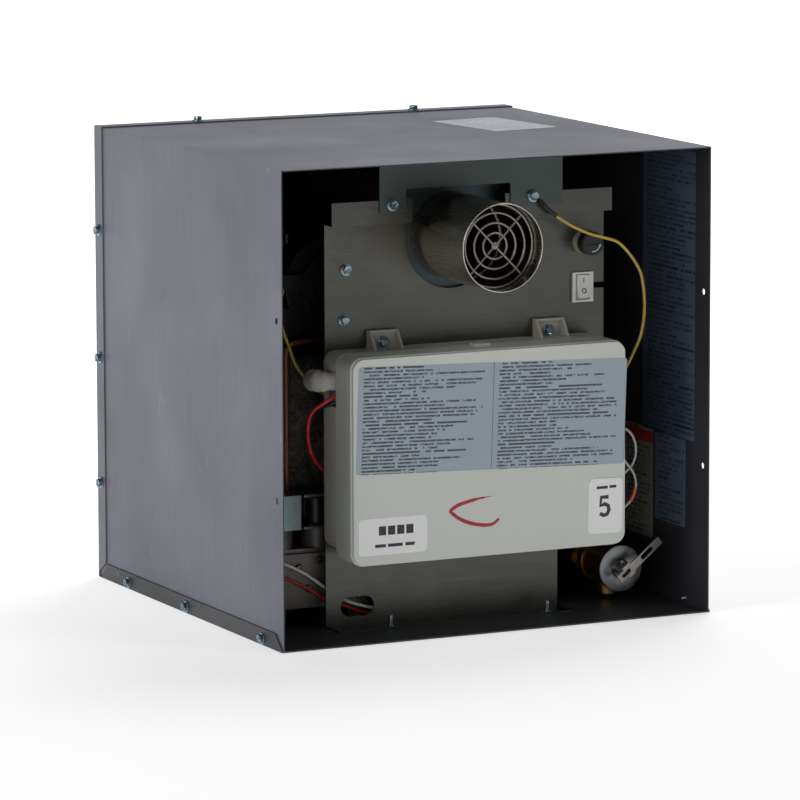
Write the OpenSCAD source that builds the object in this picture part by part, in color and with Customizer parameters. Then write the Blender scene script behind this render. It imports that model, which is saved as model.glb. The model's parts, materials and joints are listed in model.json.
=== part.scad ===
/* [Case] */
// Width of the sheet steel wrap, outside
case_w = 322; // [318:1:326]
// Height of the wrap above the ground line
case_h = 322; // [320:1:330]
// Depth from the front edge of the wrap to the back face
case_d = 313; // [311:1:320]
// Thickness of the case sheet
sheet = 1; // [0.8:0.1:1]
// How far the exhaust tube and the rear fittings reach past the case
reach = 16.5; // [14:0.5:20]

/* [Front plate] */
// Height of the vertical mounting plate
plate_h = 277; // [275:1:280]
// Distance of its face behind the front edge
plate_set = 61.5; // [61:0.5:62]
// Centre height of the exhaust tube
flue_z = 264; // [262:1:265]
// Outer radius of the exhaust tube
flue_r = 30; // [29:0.5:30]

/* [Control box] */
// Width of the control box
box_w = 207; // [205:1:208]
// Bottom edge of its cover
box_z0 = 49.5; // [48:0.5:52]
// Top edge of its cover
box_z1 = 191; // [189:0.5:191]
// Depth of the whole box
box_depth = 45; // [44:1:47]
// Corner radius
box_r = 9; // [6:0.5:11]

/* [Relief valve] */
// Radius of the polished cap
cap_r = 16.4; // [15:0.2:17]
// Lean of the test lever from level, in degrees
lever_lean = 39; // [30:1:45]

/* [Hidden] */
$fn = 48;

// Case
half_w = case_w / 2;
front_y = -case_d / 2;
back_y = case_d / 2;
wall_x = half_w - sheet;
flange_h = 11.2;
flange_d = 12;
screw_y = back_y - 6.5;
mouth_y = front_y - reach;
rear_y = back_y + reach;
low_ys = [-124.4, 1.7, 102.6];
side_zs = [68.9, 158.6, 249.4];
top_xs = [-85, 85];
low_z = 4.5;
lip_xs = [-100, 0];
hang_y = front_y + 8.5;
hang_zs = [101, 221.5];

// Sheet metal screws
shank_r = 1.6;
hole_r = 1.7;
washer_r = 3.8;

// Front plate
plate_y = front_y + plate_set;
plate_x0 = -101;
plate_x1 = 111;
flue_x = -6;
cut_r = 35;
shelf_y = plate_y - 11;
strip_top = 292;
foot_y = plate_y - 21;
stud_xs = [-60.5, 59];
stud_y = plate_y - 17;
bracket_y = shelf_y - 2 * sheet;
hang_screws = [[-56.4, 288.6], [49.5, 289.2]];
plate_screws = [[-85, 245], [-86.7, 210.6]];
lug_xs = [-59, 67];
lug_z = 195;

// Fuse and switch
fuse_x = 95;
fuse_z = 254;
fuse_neck = 6.5;
switch_x = 94;
switch_z = 222.75;

// Control box
box_x0 = -102;
box_x1 = box_x0 + box_w;
split_y = plate_y - 19;
box_y = plate_y - box_depth;
shell = 2;

// Heat engine
core_x0 = -88;
core_x1 = 78;
core_y0 = -36;
core_y1 = 80;
tray_top = 58;
chamber_top = 140;
core_top = 180;
tube_z = 160;
coil_r = 4.75;
coil_pitch = 16;
coil_n = 7;
coil_y0 = -26;
bar_n = 8;
bar_pitch = 19;
bar_x0 = -71.5;
jet_z = 34;
electrode_xs = [-34, -22];
electrode_z = 100;
hood_x0 = -34;
hood_y0 = -60;
flue_step_y = plate_y - 15;
flue_seat_r = flue_r - 0.8;
bar_w = 1.8;
hood_z0 = 188;
hood_top = 300;

// Blower
fan_x = -75;
fan_z = 229;
scroll_r = 34;
scroll_y0 = -50;
scroll_y1 = -14;
motor_y = -58;
motor_r = 25;
fan_shaft_r = 2;
run_y0 = -31;
run_y1 = -17;

// Gas valve
valve_y0 = -80;
valve_y1 = -50;
valve_z0 = 13;
valve_z1 = 54;
coil_xs = [-125, -97];
coil_y = -70;
yoke_z0 = 67;
yoke_z1 = 91;
plunger_r = 4;
gas_x = -125;
gas_z = 19;

// Water side
hot_x = 123.5;
hot_z = 24;
cold_x = 40;
riser_y = 70;
thread_r = 10.65;
gas_r = 7.94;
relief = 0.8;
port_gap = 1.1;

// Relief valve
pin_y = -105;
cap_y = -98;
lever_u0 = -9;
lever_u1 = 32;

// Limit switch
limit_x = -120;
limit_z = 264;

// Sweeping a round section along a path
function unit(v) = v / norm(v);
function curve_at(a, b, c, d, t) =
    0.5 * ((2 * b) + (c - a) * t + (2 * a - 5 * b + 4 * c - d) * t * t + (3 * b - a - 3 * c + d) * t * t * t);
function smooth(p, n) = concat(
    [for (i = [0 : len(p) - 2], k = [0 : n - 1])
        curve_at(p[max(i - 1, 0)], p[i], p[i + 1], p[min(i + 2, len(p) - 1)], k / n)],
    [p[len(p) - 1]]);
function heading(p, i) = unit(p[min(i + 1, len(p) - 1)] - p[max(i - 1, 0)]);
function square_to(v, t) = unit(v - (v * t) * t);
function sides_of(p, i = 0, last = [0.31, 0.17, 0.93], out = []) =
    i == len(p) ? out : sides_of(p, i + 1, square_to(last, heading(p, i)),
        concat(out, [square_to(last, heading(p, i))]));
function ring_points(c, t, s, r, n) = [for (k = [0 : n - 1])
    c + r * (cos(360 * k / n) * s + sin(360 * k / n) * cross(t, s))];

module sweep(p, r, n = 8) {
    s = sides_of(p);
    pts = [for (i = [0 : len(p) - 1]) each ring_points(p[i], heading(p, i), s[i], r, n)];
    walls = [for (i = [0 : len(p) - 2], k = [0 : n - 1])
        let (a = i * n + k, b = i * n + (k + 1) % n) each [[a, a + n, b + n], [a, b + n, b]]];
    ends = [[for (k = [0 : n - 1]) k], [for (k = [n - 1 : -1 : 0]) (len(p) - 1) * n + k]];
    polyhedron(pts, concat(walls, ends));
}

// A pipe through corner points, each corner cut to a bend of radius r_bend
function bend(a, b, c, r_bend, n = 5) = [for (k = [0 : n])
    let (t = k / n, p0 = b + r_bend * unit(a - b), p1 = b + r_bend * unit(c - b))
    (1 - t) * (1 - t) * p0 + 2 * t * (1 - t) * b + t * t * p1];
function bent(p, r_bend) = concat([p[0]],
    [for (i = [1 : len(p) - 2]) each bend(p[i - 1], p[i], p[i + 1], r_bend)], [p[len(p) - 1]]);

// Shapes placed by their low and high corners
module block(lo, hi) {
    translate(lo) cube(hi - lo);
}

module tank(lo, hi, t, open_top = true, open_bottom = true) {
    difference() {
        block(lo, hi);
        block([lo.x + t, lo.y + t, open_bottom ? lo.z - 1 : lo.z + t],
              [hi.x - t, hi.y - t, open_top ? hi.z + 1 : hi.z - t]);
    }
}

// A cylinder along +Y, from y0 to y1
module rod_y(x, y0, y1, z, r, sides = 0) {
    translate([x, y0, z]) rotate([-90, 0, 0]) cylinder(r = r, h = y1 - y0, $fn = sides > 0 ? sides : $fn);
}

module rod_x(x0, x1, y, z, r) {
    translate([x0, y, z]) rotate([0, 90, 0]) cylinder(r = r, h = x1 - x0);
}

module rod_z(x, y, z0, z1, r) {
    translate([x, y, z0]) cylinder(r = r, h = z1 - z0);
}

// A flat panel drawn in X and Z, from y0 back to y1
module panel_xz(y0, y1) {
    translate([0, y1, 0]) rotate([90, 0, 0]) linear_extrude(y1 - y0) children();
}

// A strip drawn in Y and Z, from x0 to x1
module strip_yz(x0, x1) {
    translate([x0, 0, 0]) rotate([90, 0, 90]) linear_extrude(x1 - x0) children();
}

module rounded(x0, z0, x1, z1, r) {
    translate([x0 + r, z0]) square([x1 - x0 - 2 * r, z1 - z0]);
    translate([x0, z0 + r]) square([x1 - x0, z1 - z0 - 2 * r]);
    for (x = [x0 + r, x1 - r], z = [z0 + r, z1 - r]) translate([x, z]) circle(r);
}

// Hex washer head screw: the head stands above z = 0, the thread below
module sheet_screw(len = 7) {
    cylinder(r = washer_r, h = 0.7);
    difference() {
        translate([0, 0, 0.7]) cylinder(r = 3.1, h = 2.6, $fn = 6);
        translate([-4, -0.5, 2.4]) cube([8, 1, 2]);
    }
    translate([0, 0, -len + 2]) cylinder(r = shank_r, h = len - 2);
    translate([0, 0, -len]) cylinder(r1 = 0.3, r2 = shank_r, h = 2);
}

module on_sides(ys, zs, x) {
    for (s = [-1, 1], y = ys, z = zs) translate([s * x, y, z]) rotate([0, s * 90, 0]) children();
}

module facing_front(x, y, z) {
    translate([x, y, z]) rotate([90, 0, 0]) children();
}

// Case
module case_wrap() {
    color("#75777f") difference() {
        block([-half_w, front_y, sheet], [half_w, back_y - sheet, case_h]);
        block([-wall_x, front_y - 1, 0], [wall_x, back_y, case_h - sheet]);
        on_sides(low_ys, [low_z], wall_x - 2) cylinder(r = hole_r, h = 6);
        on_sides([screw_y], side_zs, wall_x - 2) cylinder(r = hole_r, h = 6);
        on_sides([hang_y], hang_zs, wall_x - 2) cylinder(r = 2.25, h = 6);
        for (x = top_xs) rod_z(x, screw_y, case_h - 3, case_h + 3, hole_r);
    }
}

module back_panel() {
    color("#75777f") difference() {
        union() {
            block([-half_w - sheet, back_y - sheet, 0], [half_w + sheet, back_y, case_h + sheet]);
            block([-half_w - sheet, back_y - flange_d - sheet, case_h],
                  [half_w + sheet, back_y - sheet, case_h + sheet]);
            for (s = [-1, 1]) strip_yz(s > 0 ? half_w : -half_w - sheet, s > 0 ? half_w + sheet : -half_w)
                polygon([[back_y - sheet, 4], [back_y - flange_d - sheet, 12],
                         [back_y - flange_d - sheet, case_h], [back_y - sheet, case_h]]);
        }
        on_sides([screw_y], side_zs, half_w - 1) cylinder(r = hole_r, h = 6);
        for (x = top_xs) rod_z(x, screw_y, case_h - 1, case_h + 3, hole_r);
        for (x = lip_xs) rod_y(x, back_y - 3, back_y + 3, 6.5, hole_r);
        rod_y(hot_x, back_y - 3, back_y + 3, hot_z, thread_r + port_gap);
        rod_y(cold_x, back_y - 3, back_y + 3, hot_z, thread_r + port_gap);
        rod_y(gas_x, back_y - 3, back_y + 3, gas_z, gas_r + port_gap);
    }
}

module bottom_pan() {
    color("#6d7078") difference() {
        union() {
            block([-half_w - sheet, front_y, 0], [half_w + sheet, back_y - sheet, sheet]);
            block([-wall_x, back_y - 2 * sheet, sheet], [wall_x, back_y - sheet, flange_h]);
            for (s = [-1, 1]) strip_yz(s > 0 ? half_w : -half_w - sheet, s > 0 ? half_w + sheet : -half_w)
                polygon([[front_y, sheet], [front_y + 11.5, flange_h],
                         [back_y - flange_d - 2.5, flange_h], [back_y - flange_d + 6, sheet]]);
        }
        on_sides(low_ys, [low_z], half_w - 1) cylinder(r = hole_r, h = 6);
        for (x = lip_xs) rod_y(x, back_y - 4, back_y + 1, 6.5, hole_r);
        rod_y(hot_x, back_y - 4, back_y + 1, hot_z, thread_r + 3.5);
        rod_y(cold_x, back_y - 4, back_y + 1, hot_z, thread_r + 3.5);
        rod_y(gas_x, back_y - 4, back_y + 1, gas_z, 11);
        for (x = stud_xs) rod_z(x, stud_y, -1, 2, 1.9);
    }
}

module sheet_screws() {
    color("#8fa3b0") {
        on_sides(low_ys, [low_z], half_w + sheet) sheet_screw();
        on_sides([screw_y], side_zs, half_w + sheet) sheet_screw();
        for (x = top_xs) translate([x, screw_y, case_h + sheet]) sheet_screw();
        for (x = lip_xs) translate([x, back_y, 6.5]) rotate([-90, 0, 0]) sheet_screw();
        facing_front(hang_screws[0].x, bracket_y, hang_screws[0].y) sheet_screw();
        facing_front(hang_screws[1].x, bracket_y - 0.8, hang_screws[1].y) sheet_screw();
        for (p = plate_screws) facing_front(p.x, plate_y, p.y) sheet_screw();
        for (x = lug_xs) facing_front(x, plate_y - 2.5, lug_z) sheet_screw();
    }
}

module hanger_bracket() {
    color("#8b968f") difference() {
        union() {
            panel_xz(bracket_y, bracket_y + sheet) difference() {
                translate([-66, 283]) square([138.4, case_h - sheet - 283]);
                translate([-46, 280]) square([78.5, 19]);
            }
            block([-66, bracket_y + sheet, case_h - 2 * sheet], [72.4, bracket_y + 12, case_h - sheet]);
        }
        for (p = hang_screws) rod_y(p.x, bracket_y - 1, bracket_y + 3, p.y, hole_r);
    }
}

module plate_outline() {
    difference() {
        polygon([[plate_x0, sheet], [75.5, sheet], [75.5, 110], [plate_x1, 120], [plate_x1, plate_h],
                 [plate_x0, plate_h]]);
        translate([flue_x, flue_z - 1]) circle(cut_r);
        translate([flue_x - cut_r, flue_z - 1]) square([2 * cut_r, 40]);
        rounded(-90, 7.4, -65, 20.9, 6.7);
        translate([fuse_x, fuse_z]) circle(6.5);
        translate([fuse_x, fuse_z - 2.5]) square([30, 4.5]);
        translate([switch_x - 6.2, switch_z - 8.9]) square([12.4, 17.8]);
        translate([switch_x, switch_z - 1.4]) square([30, 4]);
        for (p = plate_screws) translate(p) circle(hole_r);
        for (x = lug_xs) translate([x, lug_z]) circle(hole_r);
    }
}

module front_plate() {
    color("#a3a6a4") difference() {
        union() {
            panel_xz(plate_y, plate_y + sheet) plate_outline();
            block([plate_x0, foot_y, sheet], [75.5, plate_y, 2 * sheet]);
            for (s = [[plate_x0, flue_x - cut_r], [flue_x + cut_r, plate_x1]]) {
                block([s[0], shelf_y, plate_h - sheet], [s[1], plate_y, plate_h]);
                block([s[0], shelf_y - sheet, plate_h - sheet], [s[1], shelf_y, strip_top]);
            }
        }
        for (p = hang_screws) rod_y(p.x, shelf_y - 3, shelf_y + 3, p.y, hole_r);
        for (x = stud_xs) rod_z(x, stud_y, 0, 4, 1.9);
    }
}

module foot_studs() {
    color("#8fa3b0") for (x = stud_xs) {
        rod_z(x, stud_y, 0.2, 9.5, 1.8);
        translate([x, stud_y, 2]) cylinder(r = 2.6, h = 0.6);
    }
}

// Control box
module lug(x) {
    difference() {
        union() {
            block([x - 11, plate_y - 2.5, box_z1 - 3], [x + 11, plate_y, 203]);
            block([x - 11, plate_y - 4.5, 201.2], [x + 11, plate_y - 2, 203]);
            for (side = [x - 11, x + 9.2]) strip_yz(side, side + 1.8)
                polygon([[plate_y - 2.5, box_z1 - 1], [plate_y - 14, box_z1 - 1], [plate_y - 4.5, 203],
                         [plate_y - 2.5, 203]]);
        }
        rod_y(x, plate_y - 5, plate_y + 2, lug_z, hole_r);
    }
}

module control_box_base() {
    color("#c9c8c1") difference() {
        union() {
            panel_xz(split_y, plate_y) rounded(box_x0, box_z0 + 7.5, box_x1, box_z1, 8);
            for (x = lug_xs) lug(x);
        }
        panel_xz(split_y - 1, plate_y - shell)
            rounded(box_x0 + shell, box_z0 + 7.5 + shell, box_x1 - shell, box_z1 - shell, 6);
        block([box_x0 - 1, split_y - 1, 155], [box_x0 + 3, split_y + 14, 179]);
        block([box_x1 - 3, split_y + 4, 104], [box_x1 + 1, split_y + 12, 152]);
        for (x = lug_xs) rod_y(x, plate_y - 30, plate_y - 2.5, lug_z, 5.2);
    }
}

module control_box_cover() {
    color("#cfd0cb") difference() {
        union() {
            panel_xz(box_y + 3, split_y) rounded(box_x0, box_z0, box_x1, box_z1, box_r);
            panel_xz(box_y, box_y + 3) rounded(box_x0 + 0.8, box_z0 + 0.8, box_x1 - 0.8, box_z1 - 0.8, box_r - 0.8);
            block([-2, split_y - 9, box_z1 - 0.5], [10, split_y, box_z1 + 1.6]);
        }
        panel_xz(box_y + shell, split_y + 1)
            rounded(box_x0 + shell, box_z0 + shell, box_x1 - shell, box_z1 - shell, box_r - shell);
    }
}

module control_board() {
    board_y = plate_y - 10;
    color("#2f5d3a") block([box_x0 + 16, board_y, box_z0 + 16], [box_x1 - 16, board_y + 1.6, box_z1 - 12]);
    color("#222222") for (i = [0 : 4])
        block([-70 + i * 30, board_y - 14, 120], [-50 + i * 30, board_y, 140]);
    color("#d8d4c0") for (i = [0 : 5])
        block([-76 + i * 26, board_y - 9, 74], [-60 + i * 26, board_y, 84]);
    color("#c9c8c1") for (x = [-70, 75], z = [72, 168])
        rod_y(x, board_y + 1.6, plate_y - shell, z, 3);
}

// Flue
module exhaust_tube() {
    color("#9b9489") difference() {
        union() {
            rod_y(flue_x, mouth_y, flue_step_y, flue_z, flue_r);
            rod_y(flue_x, flue_step_y, hood_y0, flue_z, flue_seat_r);
            rod_y(flue_x, plate_y + 4.5, plate_y + 6, flue_z, flue_r + 1.6);
        }
        rod_y(flue_x, mouth_y - 1, flue_step_y - 1, flue_z, flue_r - 0.8);
        rod_y(flue_x, flue_step_y - 2, hood_y0 + 1, flue_z, flue_seat_r - 0.8);
    }
}

module grille_ring(r, w) {
    facing_front(flue_x, mouth_y + 13.2, flue_z) linear_extrude(1.2) difference() {
        circle(r + w / 2);
        circle(r - w / 2);
    }
}

module exhaust_grille() {
    color("#a39c92") {
        union() {
            for (r = [8.8, 15.5, 22.3]) grille_ring(r, bar_w);
            grille_ring(flue_r - 1.9, 2);
            rod_y(flue_x, mouth_y + 12, mouth_y + 13.2, flue_z, 2.8);
            facing_front(flue_x, mouth_y + 13.2, flue_z) for (a = [45 : 90 : 359]) rotate(a)
                translate([1.5, -bar_w / 2, 0]) cube([flue_r - 3.1, bar_w, 1.2]);
        }
    }
}

module flue_flange() {
    color("#b4b4ae") panel_xz(plate_y + 3.2, plate_y + 4.4) difference() {
        translate([flue_x - 46, flue_z - 37]) square([92, 74]);
        translate([flue_x, flue_z]) circle(flue_seat_r + 0.05);
        for (x = [-36, 36], z = [-30, 30]) translate([flue_x + x, flue_z + z]) circle(2.2);
    }
}

module flue_hood() {
    x1 = core_x1;
    color("#8f8f8a") difference() {
        union() {
            block([hood_x0, hood_y0, hood_z0], [x1, core_y1, hood_top]);
            block([hood_x0, core_y0, core_top], [x1, core_y1, hood_z0]);
            block([core_x0, core_y0, core_top], [x1, core_y1, core_top + 1]);
            block([-42, hood_y0 - 1, fan_z], [x1, hood_y0, hood_top]);
        }
        block([hood_x0 + 1, hood_y0 + 1, hood_z0 + 1], [x1 - 1, core_y1 - 1, hood_top - 1]);
        block([hood_x0 + 1, core_y0 + 1, core_top - 1], [x1 - 1, core_y1 - 1, hood_z0 + 2]);
        rod_y(flue_x, hood_y0 - 2, hood_y0 + 2, flue_z, flue_seat_r + 0.05);
    }
}

// Heat exchanger
module exchanger_shell() {
    color("#b87348") difference() {
        tank([core_x0, core_y0, chamber_top], [core_x1, core_y1, core_top], 1);
        for (i = [0 : coil_n - 1])
            rod_x(core_x0 - 1, core_x1 + 1, coil_y0 + i * coil_pitch, tube_z, coil_r + 0.05);
    }
}

module exchanger_fins() {
    color("#c07a4c") for (k = [0 : 19]) difference() {
        x = core_x0 + 7 + k * 8;
        block([x, core_y0 + 2, 147], [x + 0.6, core_y1 - 2, 175]);
        for (i = [0 : coil_n - 1]) rod_x(x - 1, x + 2, coil_y0 + i * coil_pitch, tube_z, coil_r + 0.05);
    }
}

module return_bend(x, y, turn) {
    translate([x, y + coil_pitch / 2, tube_z]) rotate([0, 0, turn]) rotate_extrude(angle = 180)
        translate([coil_pitch / 2, 0]) circle(coil_r);
}

module exchanger_coil() {
    color("#b87348") {
        for (i = [0 : coil_n - 1]) rod_x(core_x0 - 0.5, core_x1 + 0.5, coil_y0 + i * coil_pitch, tube_z, coil_r);
        for (i = [0 : 2 : coil_n - 2]) return_bend(core_x1 + 0.5, coil_y0 + i * coil_pitch, -90);
        for (i = [1 : 2 : coil_n - 2]) return_bend(core_x0 - 0.5, coil_y0 + i * coil_pitch, 90);
    }
}

module combustion_chamber() {
    color("#b06b44") difference() {
        tank([core_x0, core_y0, tray_top], [core_x1, core_y1, chamber_top], 1);
        for (x = electrode_xs) rod_y(x, core_y0 - 1, core_y0 + 3, electrode_z, 2.7);
    }
}

module insulation_blanket() {
    color("#6e6a60") difference() {
        translate([0, 0, tray_top]) linear_extrude(core_top - tray_top) difference() {
            rounded(core_x0 - 20, core_y0 - 14, core_x1 + 20, core_y1 + 14, 12);
            translate([core_x0 - 14, core_y0 - 1]) square([core_x1 - core_x0 + 28, core_y1 - core_y0 + 2]);
        }
        rod_x(core_x0 - 30, core_x0, coil_y0, tube_z, 6);
        rod_x(core_x1, core_x1 + 30, riser_y, tube_z, 6);
        for (x = electrode_xs) rod_y(x, core_y0 - 20, core_y0 + 3, electrode_z, 3.5);
    }
}

// Burner
module burner_tray() {
    x0 = core_x0 + 4;
    x1 = core_x1 - 4;
    y0 = core_y0 + 4;
    y1 = core_y1 - 4;
    color("#9a9a96") difference() {
        union() {
            tank([x0, y0, sheet], [x1, y1, tray_top], 1);
            block([x0, y0, 22], [x1, y1, 23]);
            difference() {
                block([core_x0, core_y0, tray_top - 1], [core_x1, core_y1, tray_top]);
                block([x0, y0, tray_top - 2], [x1, y1, tray_top + 1]);
            }
        }
        for (i = [0 : bar_n - 1]) rod_y(bar_x0 + i * bar_pitch, y0 - 1, y0 + 2, jet_z, 4.5);
        block([x0 - 1, run_y0 + 1.5, 25.5], [x0 + 2, run_y1 - 1.5, 48.5]);
    }
}

module burner_bars() {
    color("#8a8d90") for (i = [0 : bar_n - 1]) {
        x = bar_x0 + i * bar_pitch;
        difference() {
            union() {
                block([x - 4, core_y0 + 10, 23], [x + 4, core_y1 - 8, 52]);
                translate([x, core_y0 + 10, 52]) rotate([-90, 0, 0])
                    cylinder(r = 4, h = core_y1 - core_y0 - 18);
            }
            rod_y(x, core_y0 + 9, core_y0 + 40, jet_z, 3);
            for (k = [0 : 11]) block([x - 2.5, -18 + k * 7.5, 50], [x + 2.5, -16.8 + k * 7.5, 60]);
        }
    }
}

module gas_manifold() {
    color("#a8a59c") {
        block([coil_xs[1] - 1, valve_y1, jet_z - 5], [66, valve_y1 + 8, jet_z + 5]);
        for (i = [0 : bar_n - 1])
            rod_y(bar_x0 + i * bar_pitch, valve_y1 + 8, core_y0 + 3.5, jet_z, 2.2);
    }
}

module electrodes() {
    for (x = electrode_xs) {
        color("#e6e2d6") rod_y(x, core_y0 - 26, core_y0 + 6, electrode_z, 2.5);
        color("#77777a") rod_y(x, core_y0 + 6, core_y0 + 24, electrode_z, 0.8);
    }
}

// Gas valve
valve_screw_at = [[-134, 47], [-134, 19], [-115.4, 41.8], [-108.4, 27], [-100.4, 46], [-70, 47], [-70, 19]];

module gas_valve_body() {
    color("#b9b9b4") difference() {
        union() {
            block([-140, valve_y0, valve_z0], [-62, valve_y1, valve_z1]);
            for (x = coil_xs) rod_z(x, coil_y, valve_z1, yoke_z0, 9.8);
            for (x = [-132, -76]) block([x, valve_y0 + 4, sheet], [x + 10, valve_y1 - 4, valve_z0]);
        }
        for (x = coil_xs) rod_z(x, coil_y, 42, yoke_z0 + 1, plunger_r + 0.06);
        for (p = valve_screw_at) rod_y(p.x, valve_y0 - 1, valve_y0 + 8, p.y, 1.3);
    }
}

module gas_valve_cover() {
    color("#c3c3bd") difference() {
        panel_xz(valve_y0 - 3, valve_y0) difference() {
            rounded(-138, valve_z0 + 2, -64, valve_z1 - 3, 5);
            for (p = valve_screw_at) translate(p) circle(1.3);
        }
    }
}

module valve_screws() {
    color("#9aa5ab") for (p = valve_screw_at) facing_front(p.x, valve_y0 - 3, p.y) {
        difference() {
            cylinder(r = 2.6, h = 1.8);
            for (a = [45, 135]) rotate(a) translate([-2, -0.35, 0.9]) cube([4, 0.7, 2]);
        }
        translate([0, 0, -8]) cylinder(r = 1.2, h = 8);
    }
}

module yoke(x, plate_at) {
    difference() {
        union() {
            block([x - 13, valve_y0, yoke_z0], [x + 13, coil_y + 10, yoke_z0 + 2]);
            block([x - 13, valve_y0, yoke_z1 - 2], [x + 13, coil_y + 10, yoke_z1]);
            block([x - 13, plate_at, yoke_z0], [x + 13, plate_at + 1.6, yoke_z1]);
        }
        rod_z(x, coil_y, yoke_z0 - 1, yoke_z0 + 3, plunger_r + 0.06);
    }
}

module solenoid_yokes() {
    color("#aab1b3") {
        yoke(coil_xs[0], valve_y0);
        yoke(coil_xs[1], coil_y + 8.4);
    }
}

module solenoid_coils() {
    color("#1c1c1e") for (x = coil_xs) difference() {
        union() {
            rod_z(x, coil_y, yoke_z0 + 2, yoke_z1 - 2, 7.8);
            for (z = [yoke_z0 + 2, yoke_z1 - 3.5])
                block([x - 9, coil_y - 8, z], [x + 9, coil_y + 8, z + 1.5]);
        }
        rod_z(x, coil_y, yoke_z0, yoke_z1 - 4, plunger_r + 0.06);
    }
}

module plunger(x) {
    rod_z(x, coil_y, 48, 80, plunger_r);
    color("#26211f") rod_z(x, coil_y, 46, 48, plunger_r - 0.5);
}

module safety_plunger() {
    color("#b5b8ba") plunger(coil_xs[0]);
}

module main_plunger() {
    color("#b5b8ba") plunger(coil_xs[1]);
}

module gas_pipe() {
    color("#a8a8a0") difference() {
        rod_y(gas_x, valve_y1, back_y - 16, gas_z, 5);
        rod_y(gas_x, valve_y1 + 1, back_y - 15, gas_z, 3.8);
    }
}

module gas_inlet_fitting() {
    color("#b58d3d") difference() {
        union() {
            rod_y(gas_x, back_y - 16, back_y - 4, gas_z, 9.5, 6);
            rod_y(gas_x, back_y - 4, back_y - 2, gas_z, gas_r - relief);
            rod_y(gas_x, back_y - 2, rear_y - 4, gas_z, gas_r);
            translate([gas_x, rear_y - 4, gas_z]) rotate([-90, 0, 0]) cylinder(r1 = 7.2, r2 = 4.6, h = 4);
        }
        rod_y(gas_x, back_y - 17, rear_y + 1, gas_z, 3.6);
    }
}

pressure_path = [[-34, -55, 192], [-101, -55, 192.5], [-111, -55, 189], [-111, -55, 54]];

module pressure_tube() {
    color("#b4683a") sweep(bent(pressure_path, 5), 2.2);
}

// Blower
module scroll(r, x_end, z0, z1) {
    translate([fan_x, fan_z]) circle(r);
    translate([x_end, z0]) square([fan_x - x_end, z1 - z0]);
}

module blower_housing() {
    color("#232427") difference() {
        panel_xz(scroll_y0, scroll_y1) scroll(scroll_r, -112, fan_z - scroll_r, fan_z - 14);
        panel_xz(scroll_y0 + 1.5, scroll_y1 - 1.5)
            scroll(scroll_r - 1.5, -113, fan_z - scroll_r + 1.5, fan_z - 15.5);
        rod_y(fan_x, scroll_y1 - 3, scroll_y1 + 1, fan_z, 21);
        rod_y(fan_x, scroll_y0 - 1, scroll_y0 + 3, fan_z, 18);
    }
}

module blower_motor() {
    color("#1f2023") difference() {
        union() {
            rod_y(fan_x, motor_y + 2, scroll_y0, fan_z, motor_r);
            for (r = [motor_r, motor_r - 6, motor_r - 12]) difference() {
                rod_y(fan_x, motor_y, motor_y + 2, fan_z, r);
                rod_y(fan_x, motor_y - 1, motor_y + 3, fan_z, r - 2.5);
            }
            rod_y(fan_x, motor_y, motor_y + 2, fan_z, 5);
            block([fan_x - motor_r - 12, motor_y + 2.5, fan_z - 1], [fan_x - motor_r + 3, scroll_y0, fan_z + 9]);
        }
        rod_y(fan_x, motor_y + 1, scroll_y0 + 1, fan_z, fan_shaft_r + 0.06);
    }
}

module blower_wheel() {
    color("#3a3b3e") union() {
        rod_y(fan_x, scroll_y1 - 7, scroll_y1 - 5.5, fan_z, 29);
        rod_y(fan_x, scroll_y0 + 4, scroll_y1 - 6, fan_z, 5);
        rod_y(fan_x, motor_y + 1.5, scroll_y0 + 8, fan_z, fan_shaft_r);
        difference() {
            rod_y(fan_x, scroll_y0 + 4, scroll_y0 + 5.5, fan_z, 29);
            rod_y(fan_x, scroll_y0 + 3, scroll_y0 + 7, fan_z, 23);
        }
        for (k = [0 : 23]) translate([fan_x, scroll_y0 + 5, fan_z]) rotate([0, k * 15, 0])
            translate([23.8, 0, 0]) rotate([0, 25, 0]) cube([4.6, scroll_y1 - scroll_y0 - 11.4, 0.9]);
    }
}

module blower_bracket() {
    color("#a3a6a4") difference() {
        union() {
            block([-94, plate_y + sheet, 202], [-77, plate_y + sheet + 1.2, 253]);
            block([-78.2, plate_y + sheet, 210], [-77, motor_y, 248]);
        }
        for (p = plate_screws) rod_y(p.x, plate_y, plate_y + 4, p.y, hole_r);
    }
}

module air_duct() {
    y0 = scroll_y0 + 2;
    y1 = scroll_y1 - 2;
    z0 = fan_z - scroll_r;
    z1 = fan_z - 14;
    x_in = core_x0 + 4;
    color("#2b2c2f") union() {
        difference() {
            union() {
                block([-150, y0, z0], [-112, y1, z1]);
                block([-150, y0, 24], [-128, y1, z0]);
                block([-128, run_y0, 24], [x_in, run_y1, 50]);
            }
            block([-148.5, y0 + 1.5, z0 + 1.5], [-111, y1 - 1.5, z1 - 1.5]);
            block([-148.5, y0 + 1.5, 25.5], [-129.5, y1 - 1.5, z0 + 2]);
            block([-130, run_y0 + 1.5, 25.5], [x_in + 1, run_y1 - 1.5, 48.5]);
        }
        difference() {
            block([-134, y0, z1], [-111, y0 + 1.2, 277]);
            rod_y(limit_x, y0 - 1, y0 + 3, limit_z, 6);
        }
    }
}

// High limit switch
module limit_switch() {
    y0 = scroll_y0 + 2;
    color("#2a2624") difference() {
        union() {
            rod_y(limit_x, y0 - 9, y0, limit_z, 8.5);
            rod_y(limit_x, y0 - 12, y0 - 9, limit_z, 5);
        }
        rod_y(limit_x, y0 - 13, y0 - 4, limit_z, 2.55);
    }
    color("#7f9fb5") for (s = [-1, 1]) block([limit_x + s * 6 - 1, y0 - 15, limit_z - 3],
                                             [limit_x + s * 6 + 1, y0 - 9, limit_z + 3]);
}

module reset_button() {
    y0 = scroll_y0 + 2;
    color("#b3202a") rod_y(limit_x, y0 - 14.5, y0 - 6.5, limit_z, 2.5);
}

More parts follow.
